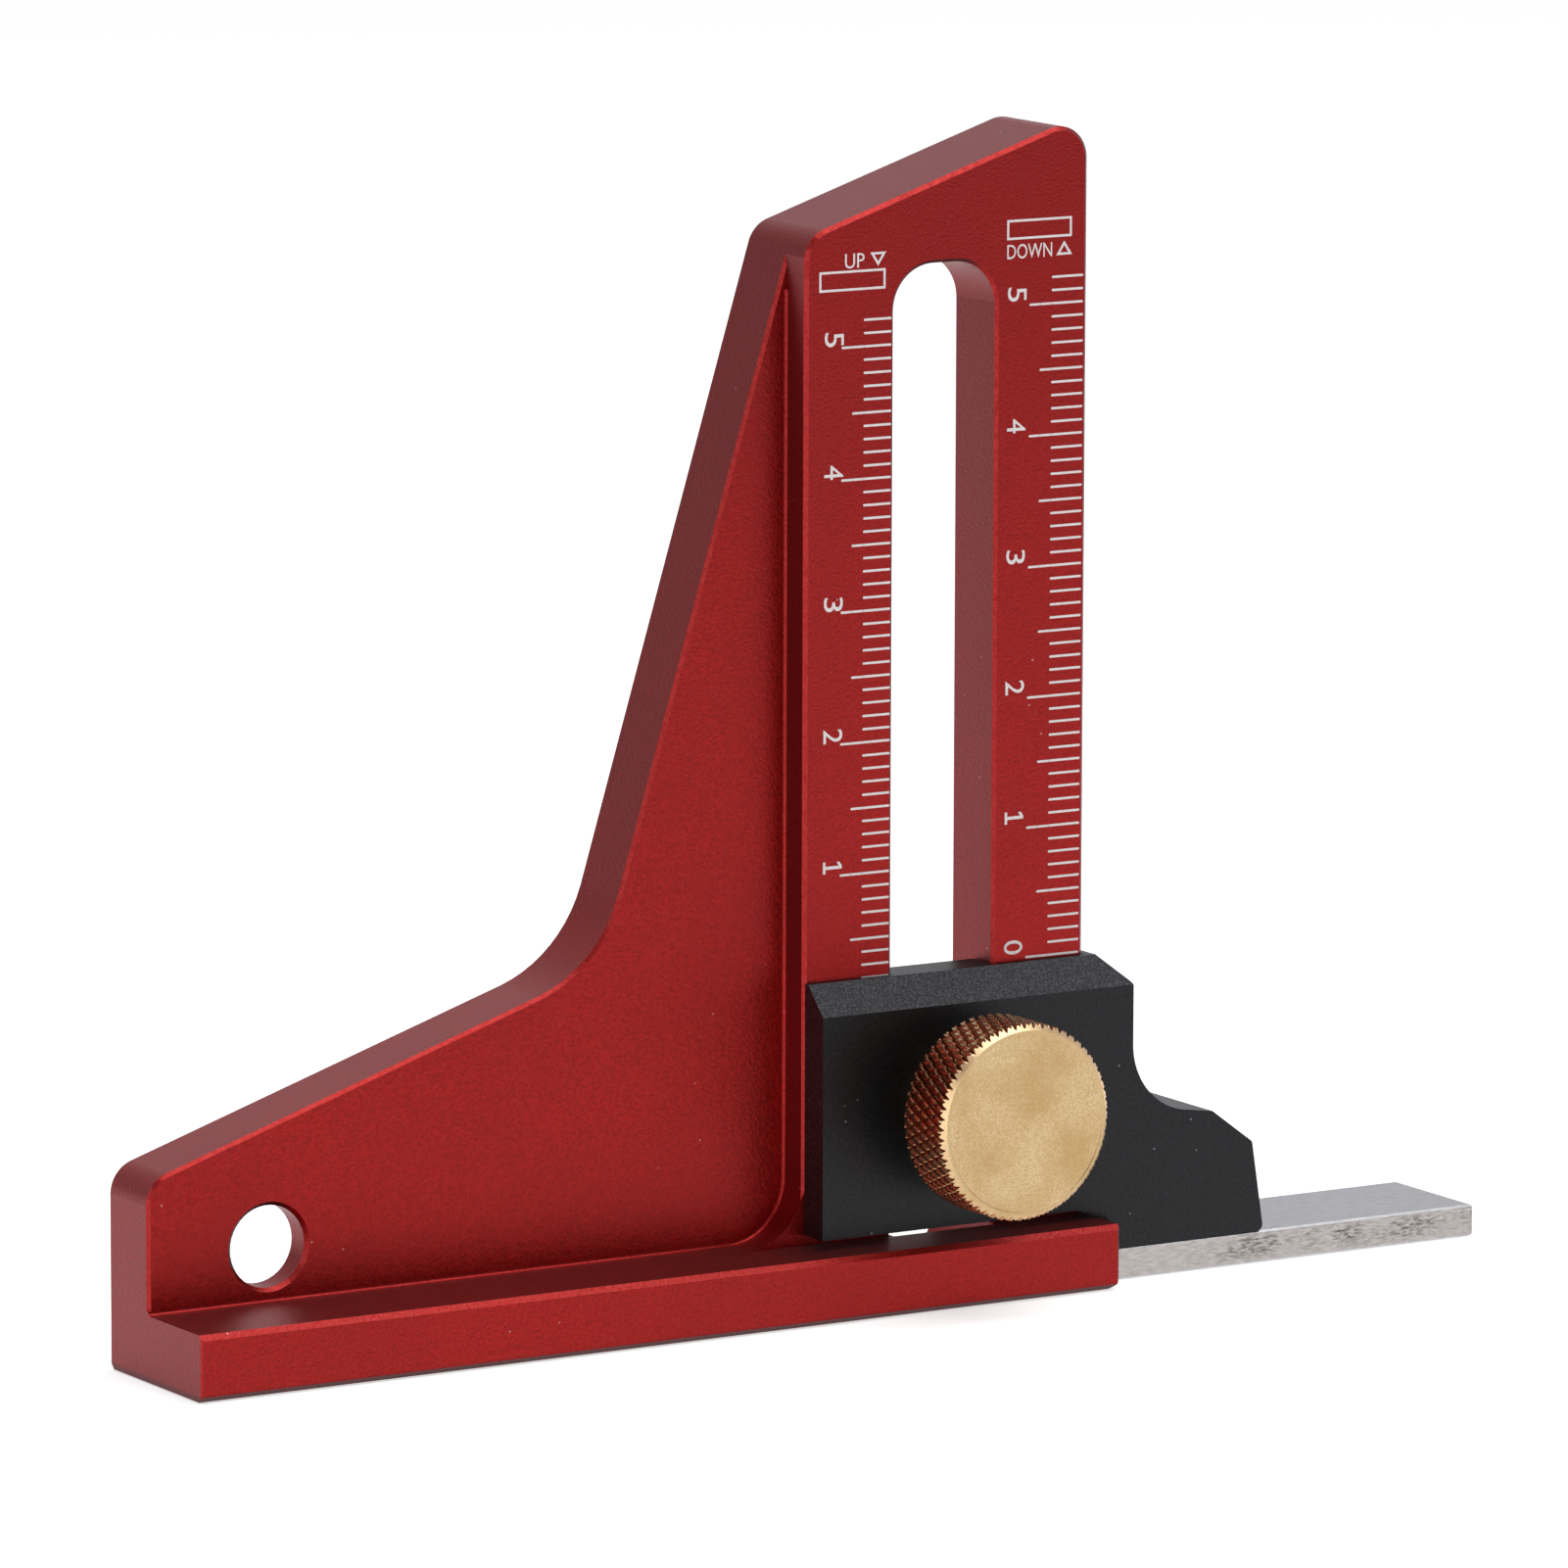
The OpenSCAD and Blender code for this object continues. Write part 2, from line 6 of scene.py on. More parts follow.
import bpy
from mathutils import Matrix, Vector


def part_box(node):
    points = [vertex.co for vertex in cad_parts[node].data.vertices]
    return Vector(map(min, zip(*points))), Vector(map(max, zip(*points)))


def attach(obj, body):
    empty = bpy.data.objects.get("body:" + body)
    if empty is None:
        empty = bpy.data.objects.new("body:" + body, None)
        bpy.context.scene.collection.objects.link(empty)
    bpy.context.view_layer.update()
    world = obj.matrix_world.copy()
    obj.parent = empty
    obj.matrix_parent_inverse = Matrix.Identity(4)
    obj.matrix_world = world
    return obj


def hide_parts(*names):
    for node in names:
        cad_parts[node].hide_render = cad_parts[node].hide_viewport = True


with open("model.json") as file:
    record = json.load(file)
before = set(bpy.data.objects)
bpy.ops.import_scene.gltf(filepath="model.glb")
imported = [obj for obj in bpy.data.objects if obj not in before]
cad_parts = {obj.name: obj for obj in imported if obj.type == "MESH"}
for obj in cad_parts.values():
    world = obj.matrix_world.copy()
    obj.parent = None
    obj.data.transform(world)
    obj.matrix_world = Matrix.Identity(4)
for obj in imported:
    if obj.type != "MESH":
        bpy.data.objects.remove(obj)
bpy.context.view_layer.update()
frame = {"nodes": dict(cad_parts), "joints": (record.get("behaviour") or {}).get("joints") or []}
scene = bpy.context.scene

# Camera

# A long lens stands to the left of the gauge, a little above it. The object is
# small, so the lens is narrow and the edges stay close to parallel.
bpy.ops.object.camera_add(
    location=(-0.416339, -0.707979, 0.177207),
    rotation=[math.radians(a) for a in (80.61054, -0.16656, -31.25896)],
)
camera = bpy.context.object
camera.name = "photo_camera"
camera.data.sensor_width = 36.0
camera.data.lens = 256.7
camera.data.clip_start = 0.05
camera.data.clip_end = 20.0
scene.camera = camera

# Studio

# White paper on a table, lit evenly by soft boxes. The room is pale behind the
# gauge on its right, and dimmer towards the front and left.
mm = 0.001


def linear(hex_colour):
    """Linear RGBA of an sRGB colour written as a hex number."""
    parts = [int(hex_colour[i:i + 2], 16) / 255 for i in (1, 3, 5)]
    return [p / 12.92 if p <= 0.04045 else ((p + 0.055) / 1.055) ** 2.4 for p in parts] + [1.0]


def add_node(tree, kind, values=None, links=None, **settings):
    """A node with its settings, its sockets' values and the outputs that feed it."""
    node = tree.nodes.new(kind)
    for name, value in settings.items():
        setattr(node, name, value)
    for socket, value in (values or {}).items():
        node.inputs[socket].default_value = value
    for socket, source in (links or {}).items():
        tree.links.new(source, node.inputs[socket])
    return node


scene.view_settings.view_transform = "Standard"
scene.view_settings.look = "None"

room = bpy.data.worlds.new("studio_room")
room.use_nodes = True
tree = room.node_tree
tree.nodes["Background"].inputs["Color"].default_value = linear("#F3F4F8")
sky = add_node(tree, "ShaderNodeTexCoord")
back_right = add_node(tree, "ShaderNodeVectorMath", {1: (0.6, 0.8, 0.0)},
                      {0: sky.outputs["Generated"]}, operation="DOT_PRODUCT")
towards_back = add_node(tree, "ShaderNodeMapRange",
                        {"From Min": -0.4, "From Max": 0.9, "To Min": 0.10, "To Max": 0.80},
                        {"Value": back_right.outputs["Value"]})
tree.links.new(towards_back.outputs[0], tree.nodes["Background"].inputs["Strength"])
scene.world = room

bpy.ops.object.select_all(action="DESELECT")
bpy.ops.mesh.primitive_plane_add(size=7.0, location=(0.0, 0.0, -0.1 * mm))
paper = bpy.context.object
paper.name = "studio_paper"
paper_finish = bpy.data.materials.new("matt_white_paper")
paper_finish.use_nodes = True
tree = paper_finish.node_tree
shader = tree.nodes["Principled BSDF"]
shader.inputs["Roughness"].default_value = 0.9
shader.inputs["Specular IOR Level"].default_value = 0.1
shader.inputs["Emission Color"].default_value = linear("#FFFFFF")
shader.inputs["Emission Strength"].default_value = 0.60
# Matt paper has hardly any highlight. Its mottle is a little over 1 mm across.
place = add_node(tree, "ShaderNodeTexCoord")
fibre = add_node(tree, "ShaderNodeTexNoise", {"Scale": 0.9 / mm, "Detail": 3.0},
                 {"Vector": place.outputs["Object"]})
shade = add_node(tree, "ShaderNodeMix", {6: linear("#EDEDEE"), 7: linear("#F6F6F6")},
                 {0: fibre.outputs[0]}, data_type="RGBA")
tree.links.new(shade.outputs[2], shader.inputs["Base Color"])
paper.data.materials.append(paper_finish)

# Each soft box: place, aim, width, height and power
for name, place_at, aim, width, height, power in (
    ("overhead_soft_box", (0.15, -0.25, 0.95), (0.0, 0.0, 0.03), 0.9, 0.7, 5.4),
    ("front_right_soft_box", (0.85, -1.25, 0.35), (0.0, 0.0, 0.04), 0.9, 0.6, 0.35),
    ("left_soft_box", (-0.98, -0.62, 0.36), (0.0, 0.0, 0.04), 0.5, 0.8, 2.4),
):
    bpy.ops.object.light_add(type="AREA", location=place_at)
    lamp = bpy.context.object
    lamp.name = name
    lamp.rotation_euler = (Vector(aim) - Vector(place_at)).to_track_quat("-Z", "Y").to_euler()
    lamp.data.shape = "RECTANGLE"
    lamp.data.size = width
    lamp.data.size_y = height
    lamp.data.energy = power

# Gauge body

# Foot, web and slotted post, milled from one aluminium plate, fine bead-blasted and
# anodised red. The dye sits in a clear oxide layer, so the metal under it still
# shines through, softly. The chamfers carry a painted highlight or painted shade.
red_finish = bpy.data.materials.new("bead_blasted_red_anodised_aluminium")
red_finish.use_nodes = True
tree = red_finish.node_tree
shader = tree.nodes["Principled BSDF"]
shader.inputs["Metallic"].default_value = 1.0
shader.inputs["Coat Weight"].default_value = 0.26
shader.inputs["Coat Roughness"].default_value = 0.34
shader.inputs["Coat IOR"].default_value = 1.6
shader.inputs["Sheen Weight"].default_value = 0.08
shader.inputs["Sheen Roughness"].default_value = 0.35
place = add_node(tree, "ShaderNodeTexCoord")
# Bead marks are about 0.1 mm across; drawn at 0.22 mm so that they show
beads = add_node(tree, "ShaderNodeTexNoise",
                 {"Scale": 1 / (0.22 * mm), "Detail": 2.0, "Roughness": 0.6},
                 {"Vector": place.outputs["Object"]})
# The dye takes unevenly over 12 mm or so
dye = add_node(tree, "ShaderNodeTexNoise", {"Scale": 1 / (12 * mm), "Detail": 2.0},
               {"Vector": place.outputs["Object"]})
bead_shade = add_node(tree, "ShaderNodeMapRange", {"From Min": 0.32, "From Max": 0.68},
                      {"Value": beads.outputs[0]})
blasted = add_node(tree, "ShaderNodeMix", {6: linear("#8A0A08"), 7: linear("#B31710")},
                   {0: bead_shade.outputs[0]}, data_type="RGBA")
dye_shade = add_node(tree, "ShaderNodeMapRange",
                     {"From Min": 0.3, "From Max": 0.7, "To Min": 0.0, "To Max": 0.35},
                     {"Value": dye.outputs[0]})
dyed = add_node(tree, "ShaderNodeMix", {7: linear("#8C0D0F")},
                {0: dye_shade.outputs[0], 6: blasted.outputs[2]}, data_type="RGBA")
# The red is a little darker towards the top
height = add_node(tree, "ShaderNodeSeparateXYZ", {}, {0: place.outputs["Object"]})
towards_top = add_node(tree, "ShaderNodeMapRange",
                      {"From Min": 25 * mm, "From Max": 85 * mm, "To Min": 0.0, "To Max": 0.55},
                      {"Value": height.outputs["Z"]})
darker_at_top = add_node(tree, "ShaderNodeMix", {7: linear("#870C0C")},
                  {0: towards_top.outputs[0], 6: dyed.outputs[2]}, data_type="RGBA")
# Walls that face sideways, but not up, get painted shade, darker than the flat faces
facing = add_node(tree, "ShaderNodeSeparateXYZ", {}, {0: place.outputs["Normal"]})
frontal = add_node(tree, "ShaderNodeMath", {}, {0: facing.outputs["Y"]}, operation="ABSOLUTE")
side_wall_shade = add_node(tree, "ShaderNodeMapRange",
                {"From Min": 0.2, "From Max": 0.5, "To Min": 0.5, "To Max": 0.0},
                {"Value": frontal.outputs[0]})
not_up = add_node(tree, "ShaderNodeMapRange",
                  {"From Min": 0.05, "From Max": 0.6, "To Min": 1.0, "To Max": 0.0},
                  {"Value": facing.outputs["Z"]})
painted_wall_shade = add_node(tree, "ShaderNodeMath", {}, {0: side_wall_shade.outputs[0], 1: not_up.outputs[0]},
                     operation="MULTIPLY")
wall_shaded = add_node(tree, "ShaderNodeMix", {7: linear("#5E0A14")},
                  {0: painted_wall_shade.outputs[0], 6: darker_at_top.outputs[2]}, data_type="RGBA")
# Chamfers round the front faces are the only faces that lean half way to the front
lean = add_node(tree, "ShaderNodeMath", {1: -0.707}, {0: facing.outputs["Y"]}, operation="SUBTRACT")
lean_size = add_node(tree, "ShaderNodeMath", {}, {0: lean.outputs[0]}, operation="ABSOLUTE")
chamfer = add_node(tree, "ShaderNodeMapRange",
                   {"From Min": 0.10, "From Max": 0.16, "To Min": 1.0, "To Max": 0.0},
                   {"Value": lean_size.outputs[0]})
# The ones that face up or outwards to the left get a painted highlight; the others get painted
# shade
up_left = add_node(tree, "ShaderNodeMath", {}, {0: facing.outputs["Z"], 1: facing.outputs["X"]},
                   operation="SUBTRACT")
lit_side = add_node(tree, "ShaderNodeMapRange", {"From Min": 0.1, "From Max": 0.45},
                   {"Value": up_left.outputs[0]})
shaded_side = add_node(tree, "ShaderNodeMapRange", {"From Min": -0.1, "From Max": -0.45},
                     {"Value": up_left.outputs[0]})
# The painted highlight on the chamfer has tiny breaks where the blasting caught it
chatter = add_node(tree, "ShaderNodeTexNoise",
                   {"Scale": 1 / (0.4 * mm), "Detail": 3.0, "Roughness": 0.75},
                   {"Vector": place.outputs["Object"]})
chatter_shade = add_node(tree, "ShaderNodeMapRange",
                         {"From Min": 0.40, "From Max": 0.58, "To Min": 0.1, "To Max": 1.0},
                         {"Value": chatter.outputs[0]})
lit_chamfer = add_node(tree, "ShaderNodeMath", {}, {0: chamfer.outputs[0], 1: lit_side.outputs[0]},
                     operation="MULTIPLY")
chamfer_highlight = add_node(tree, "ShaderNodeMath", {},
                  {0: lit_chamfer.outputs[0], 1: chatter_shade.outputs[0]}, operation="MULTIPLY")
chamfer_shade = add_node(tree, "ShaderNodeMath", {}, {0: chamfer.outputs[0], 1: shaded_side.outputs[0]},
                     operation="MULTIPLY")
shaded = add_node(tree, "ShaderNodeMix", {7: linear("#4E0A0D")},
                  {0: chamfer_shade.outputs[0], 6: wall_shaded.outputs[2]}, data_type="RGBA")
highlighted = add_node(tree, "ShaderNodeMix", {7: linear("#A4231F")},
                 {0: chamfer_highlight.outputs[0], 6: shaded.outputs[2]}, data_type="RGBA")
# The lowest half millimetre is painted dark: a painted contact shadow where the foot meets the
# table
contact_shade = add_node(tree, "ShaderNodeMapRange",
                    {"From Min": 0.2 * mm, "From Max": 0.6 * mm, "To Min": 0.75, "To Max": 0.0},
                    {"Value": height.outputs["Z"]})
contact_shaded = add_node(tree, "ShaderNodeMix", {7: linear("#4A0A0E")},
                  {0: contact_shade.outputs[0], 6: highlighted.outputs[2]}, data_type="RGBA")
# A few pale nicks and dust specks, 0.1 to 0.2 mm across
specks = add_node(tree, "ShaderNodeTexVoronoi", {"Scale": 1 / (3.2 * mm), "Randomness": 1.0},
                  {"Vector": place.outputs["Object"]})
speck = add_node(tree, "ShaderNodeMapRange",
                 {"From Min": 0.018, "From Max": 0.032, "To Min": 0.45, "To Max": 0.0},
                 {"Value": specks.outputs["Distance"]})
worn = add_node(tree, "ShaderNodeMix", {7: linear("#E9B9B4")},
                {0: speck.outputs[0], 6: contact_shaded.outputs[2]}, data_type="RGBA")
tree.links.new(worn.outputs[2], shader.inputs["Base Color"])
blast_gloss = add_node(tree, "ShaderNodeMapRange",
                       {"From Min": 0.3, "From Max": 0.7, "To Min": 0.40, "To Max": 0.50},
                       {"Value": beads.outputs[0]})
gloss = add_node(tree, "ShaderNodeMix", {3: 0.42},
                 {0: chamfer_highlight.outputs[0], 2: blast_gloss.outputs[0]}, data_type="FLOAT")
tree.links.new(gloss.outputs[0], shader.inputs["Roughness"])
relief = add_node(tree, "ShaderNodeBump", {"Strength": 0.8, "Distance": 0.045 * mm},
                  {"Height": beads.outputs[0]})
tree.links.new(relief.outputs[0], shader.inputs["Coat Normal"])
tree.links.new(relief.outputs[0], shader.inputs["Normal"])
for material_slot in frame["nodes"]["gauge_body"].material_slots:
    material_slot.material = red_finish

# Scales

# Lines and figures cut through the red by a laser, down to pale bare metal. Both
# scales have a line each millimetre: the left one is read for height above the
# table, the right one for depth below the foot.
etched = bpy.data.materials.new("laser_etched_aluminium")
etched.use_nodes = True
tree = etched.node_tree
shader = tree.nodes["Principled BSDF"]
shader.inputs["Metallic"].default_value = 0.25
place = add_node(tree, "ShaderNodeTexCoord")
# The laser leaves the metal frosted, with pits drawn at 0.12 mm so that they show
frost = add_node(tree, "ShaderNodeTexNoise", {"Scale": 1 / (0.12 * mm), "Detail": 2.0},
                 {"Vector": place.outputs["Object"]})
burn = add_node(tree, "ShaderNodeMix", {6: linear("#CFC6C6"), 7: linear("#F2ECEB")},
                {0: frost.outputs[0]}, data_type="RGBA")
tree.links.new(burn.outputs[2], shader.inputs["Base Color"])
dullness = add_node(tree, "ShaderNodeMapRange", {"To Min": 0.5, "To Max": 0.7},
                    {"Value": frost.outputs[0]})
tree.links.new(dullness.outputs[0], shader.inputs["Roughness"])
relief = add_node(tree, "ShaderNodeBump", {"Strength": 0.4, "Distance": 0.01 * mm},
                  {"Height": frost.outputs[0]})
tree.links.new(relief.outputs[0], shader.inputs["Normal"])


def box_in_mm(node):
    """A CAD node's lowest and highest corners in millimetres, to the nearest micron."""
    return [[round(value / mm, 3) for value in corner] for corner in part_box(node)]


body_back = box_in_mm("gauge_body")[1][1]
post_t = 8.5             # the post's thickness, measured from the body's back
face_y = (body_back - post_t) * mm
mark_t = 0.04 * mm       # half of a mark's thickness lies in the face
line_w = 0.18 * mm       # width of a scale's line
line_corner_r = 0.42 * line_w
# The rest are in millimetres, as all places across and up the post are
line_overlap = 0.05      # a longer line's outer part runs this far into the shorter one
scale_l = 52             # each scale reads from 0 to this
figure_h = 1.66
figure_w = 1.08
figure_one_w = 0.92
word_h = 1.10


def lay_flat(mark, name):
    """Puts a mark's place in its mesh, cleans it and lets it ride on the body."""
    bpy.ops.object.select_all(action="DESELECT")
    mark.select_set(True)
    bpy.context.view_layer.objects.active = mark
    bpy.ops.object.transform_apply(location=True, rotation=True, scale=True)
    bpy.ops.object.mode_set(mode="EDIT")
    bpy.ops.mesh.select_all(action="SELECT")
    bpy.ops.mesh.remove_doubles(threshold=0.002 * mm)
    bpy.ops.mesh.normals_make_consistent(inside=False)
    bpy.ops.object.mode_set(mode="OBJECT")
    mark.name = name
    mark.data.name = name
    mark.data.materials.clear()
    mark.data.materials.append(etched)
    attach(mark, "frame")


def scale_lines(x_from, x_to, z_from, pitch, count):
    """One etched line with round ends, repeated up the post."""
    bpy.ops.object.select_all(action="DESELECT")
    bpy.ops.mesh.primitive_cube_add(
        size=1.0, location=((x_from + x_to) / 2 * mm, face_y, z_from * mm))
    line = bpy.context.object
    line.scale = ((x_to - x_from) * mm, mark_t, line_w)
    bpy.ops.object.transform_apply(location=True, rotation=True, scale=True)
    bpy.ops.object.mode_set(mode="EDIT")
    bpy.ops.mesh.select_mode(type="EDGE")
    bpy.ops.mesh.select_all(action="DESELECT")
    bpy.ops.object.mode_set(mode="OBJECT")
    for edge in line.data.edges:
        a, b = (line.data.vertices[i].co for i in edge.vertices)
        edge.select = abs(a.y - b.y) > mark_t / 2
    bpy.ops.object.mode_set(mode="EDIT")
    bpy.ops.mesh.bevel(offset=line_corner_r, segments=3)
    bpy.ops.object.mode_set(mode="OBJECT")
    row = line.modifiers.new("each_line", "ARRAY")
    row.count = count
    row.use_relative_offset = False
    row.use_constant_offset = True
    row.constant_offset_displace = (0.0, 0.0, pitch * mm)
    bpy.ops.object.modifier_apply(modifier=row.name)
    return line


def join(pieces):
    """Several objects made one."""
    bpy.ops.object.select_all(action="DESELECT")
    for piece in pieces:
        piece.select_set(True)
    bpy.context.view_layer.objects.active = pieces[0]
    bpy.ops.object.join()
    return bpy.context.object


def figure_one():
    """A 1 with a flag and a foot, drawn flat by extruding the edges of its stem."""
    stem_w = 0.24
    stem_top = 1.68
    foot_t = 0.22
    foot_reach = 0.34
    flag_root = 1.42
    flag_reach = 0.30
    flag_drop = 0.22
    bpy.ops.mesh.primitive_plane_add(size=1.0)
    one = bpy.context.object
    one.scale = (stem_w, stem_top - foot_t, 1.0)
    one.location = (0.0, (stem_top + foot_t) / 2, 0.0)
    bpy.ops.object.transform_apply(location=True, rotation=False, scale=True)
    bpy.ops.object.mode_set(mode="EDIT")
    bpy.ops.mesh.select_mode(type="EDGE")
    bpy.ops.mesh.select_all(action="SELECT")
    bpy.ops.mesh.bisect(plane_co=(0.0, flag_root, 0.0), plane_no=(0.0, 1.0, 0.0))
    bpy.ops.object.mode_set(mode="OBJECT")
    for middle, move in (
        ((0.0, foot_t), (0.0, -foot_t, 0.0)),
        ((-stem_w / 2, foot_t / 2), (-foot_reach, 0.0, 0.0)),
        ((stem_w / 2, foot_t / 2), (foot_reach, 0.0, 0.0)),
        ((-stem_w / 2, (flag_root + stem_top) / 2), (-flag_reach, -flag_drop, 0.0)),
    ):
        bpy.ops.object.mode_set(mode="EDIT")
        bpy.ops.mesh.select_all(action="DESELECT")
        bpy.ops.object.mode_set(mode="OBJECT")
        for edge in one.data.edges:
            a, b = (one.data.vertices[i].co for i in edge.vertices)
            edge.select = math.dist(((a.x + b.x) / 2, (a.y + b.y) / 2), middle) < 0.01
        bpy.ops.object.mode_set(mode="EDIT")
        bpy.ops.mesh.extrude_region_move(TRANSFORM_OT_translate={"value": move})
        bpy.ops.object.mode_set(mode="OBJECT")
    return one


def etched_text(words, centre_x, centre_z, width, height, turned=False):
    """A figure or word fitted to its width and height; turned ones read downwards."""
    bpy.ops.object.select_all(action="DESELECT")
    if words == "1":
        mark = figure_one()
    else:
        bpy.ops.object.text_add()
        text = bpy.context.object
        text.data.body = words
        text.data.size = 1.0
        text.data.resolution_u = 4
        bpy.ops.object.convert(target="MESH")
        mark = bpy.context.object
    bpy.ops.object.mode_set(mode="EDIT")
    bpy.ops.mesh.select_all(action="SELECT")
    bpy.ops.mesh.remove_doubles(threshold=0.0001)
    bpy.ops.object.mode_set(mode="OBJECT")
    xs = [v.co.x for v in mark.data.vertices]
    ys = [v.co.y for v in mark.data.vertices]
    across, up = width * mm / (max(xs) - min(xs)), height * mm / (max(ys) - min(ys))
    bpy.ops.object.mode_set(mode="EDIT")
    bpy.ops.mesh.select_all(action="SELECT")
    bpy.ops.transform.translate(value=(-(max(xs) + min(xs)) / 2, -(max(ys) + min(ys)) / 2, 0.0))
    bpy.ops.transform.resize(value=(across, up, 1.0), center_override=(0.0, 0.0, 0.0))
    bpy.ops.mesh.extrude_region_move(TRANSFORM_OT_translate={"value": (0.0, 0.0, mark_t)})
    bpy.ops.object.mode_set(mode="OBJECT")
    mark.rotation_euler = (math.pi / 2, math.pi / 2 if turned else 0.0, 0.0)
    mark.location = (centre_x * mm, face_y + mark_t / 2, centre_z * mm)
    return mark


def etched_outline(corners, x_from, x_to, z_from, z_to, point_down=False):
    """The outline of a rectangle or a triangle, one line wide."""
    bpy.ops.object.select_all(action="DESELECT")
    bpy.ops.mesh.primitive_circle_add(
        vertices=corners, radius=1.0, fill_type="NGON", rotation=(math.pi / 2, 0.0, 0.0))
    frame_line = bpy.context.object
    bpy.ops.object.transform_apply(location=True, rotation=True, scale=True)
    if corners == 4:
        for v, (x, z) in zip(frame_line.data.vertices, ((-1, -1), (1, -1), (1, 1), (-1, 1))):
            v.co = (x, 0.0, z)
    else:
        tip = -1 if point_down else 1
        for v, (x, z) in zip(frame_line.data.vertices, ((-1, -tip), (1, -tip), (0, tip))):
            v.co = (x, 0.0, z)
    bpy.ops.object.mode_set(mode="EDIT")
    bpy.ops.mesh.select_all(action="SELECT")
    bpy.ops.transform.resize(
        value=((x_to - x_from) / 2 * mm, 1.0, (z_to - z_from) / 2 * mm),
        center_override=(0.0, 0.0, 0.0))
    bpy.ops.mesh.normals_make_consistent(inside=False)
    bpy.ops.mesh.select_mode(type="FACE")
    bpy.ops.mesh.select_all(action="SELECT")
    bpy.ops.mesh.inset(thickness=line_w, depth=0.0, use_even_offset=True)
    bpy.ops.mesh.delete(type="FACE")
    bpy.ops.object.mode_set(mode="OBJECT")
    depth = frame_line.modifiers.new("line_depth", "SOLIDIFY")
    depth.thickness = mark_t
    depth.offset = 0.0
    bpy.ops.object.modifier_apply(modifier=depth.name)
    frame_line.location = (
        (x_from + x_to) / 2 * mm, face_y, (z_from + z_to) / 2 * mm)
    return frame_line


def etched_scale(name, zero, tens_from, fives_from, ones_from, line_end, figure_x, figure_rise):
    """A line each millimetre, longer at fives and at tens, and a figure at each ten."""
    rows = []
    for pitch, x_from, x_to in (
        (1, ones_from, line_end),
        (5, fives_from, ones_from + line_overlap),
        (10, tens_from, fives_from + line_overlap),
    ):
        rows.append(scale_lines(x_from, x_to, zero, pitch, scale_l // pitch + 1))
    lay_flat(join(rows), f"{name}_lines")
    for figure in range(scale_l // 10 + 1):
        width = figure_one_w if figure == 1 else figure_w
        mark = etched_text(str(figure), figure_x, zero + 10 * figure + figure_rise,
                           width, figure_h, turned=True)
        lay_flat(mark, f"{name}_figure_{figure}")


# Height scale, on the left of the slot, with its box, word and pointer above it
etched_scale("height_scale", zero=23.10, tens_from=17.90, fives_from=18.84, ones_from=19.85,
             line_end=22.27, figure_x=17.25, figure_rise=0.66)
box = etched_outline(corners=4, x_from=15.92, x_to=21.73, z_from=77.36, z_to=78.89)
lay_flat(box, "height_scale_box")
word = etched_text("UP", centre_x=19.02, centre_z=79.59, width=1.70, height=word_h)
lay_flat(word, "height_scale_up")
pointer = etched_outline(corners=3, x_from=20.38, x_to=21.78, z_from=79.10, z_to=80.14,
                         point_down=True)
lay_flat(pointer, "height_scale_pointer")

# Depth scale, along the post's right edge
etched_scale("depth_scale", zero=25.34, tens_from=34.52, fives_from=35.46, ones_from=36.50,
             line_end=39.30, figure_x=33.41, figure_rise=0.86)
box = etched_outline(corners=4, x_from=32.48, x_to=38.26, z_from=80.35, z_to=81.87)
lay_flat(box, "depth_scale_box")
word = etched_text("DOWN", centre_x=34.50, centre_z=79.45, width=4.0, height=word_h)
lay_flat(word, "depth_scale_down")
pointer = etched_outline(corners=3, x_from=36.88, x_to=38.30, z_from=78.97, z_to=80.05)
lay_flat(pointer, "depth_scale_pointer")

# Slider

# Milled from aluminium bar with its arm, blasted and anodised black. The oxide is
# dull and nearly neutral, with pale dust and tiny knocks here and there.
black_finish = bpy.data.materials.new("bead_blasted_black_anodised_aluminium")
black_finish.use_nodes = True
tree = black_finish.node_tree
shader = tree.nodes["Principled BSDF"]
shader.inputs["Metallic"].default_value = 0.85
shader.inputs["Coat Weight"].default_value = 0.25
shader.inputs["Coat Roughness"].default_value = 0.4
place = add_node(tree, "ShaderNodeTexCoord")
# Bead marks, drawn at 0.22 mm as on the body
beads = add_node(tree, "ShaderNodeTexNoise",
                 {"Scale": 1 / (0.22 * mm), "Detail": 2.0, "Roughness": 0.65},
                 {"Vector": place.outputs["Object"]})
bead_shade = add_node(tree, "ShaderNodeMapRange", {"From Min": 0.32, "From Max": 0.68},
                      {"Value": beads.outputs[0]})
blasted = add_node(tree, "ShaderNodeMix", {6: linear("#141416"), 7: linear("#262629")},
                   {0: bead_shade.outputs[0]}, data_type="RGBA")
# Dust and tiny knocks: pale specks, 0.1 to 0.2 mm across
dust = add_node(tree, "ShaderNodeTexVoronoi", {"Scale": 1 / (1.6 * mm), "Randomness": 1.0},
                {"Vector": place.outputs["Object"]})
dust_speck = add_node(tree, "ShaderNodeMapRange",
                      {"From Min": 0.03, "From Max": 0.055, "To Min": 0.6, "To Max": 0.0},
                      {"Value": dust.outputs["Distance"]})
dusty = add_node(tree, "ShaderNodeMix", {7: linear("#A9A9AE")},
                 {0: dust_speck.outputs[0], 6: blasted.outputs[2]}, data_type="RGBA")
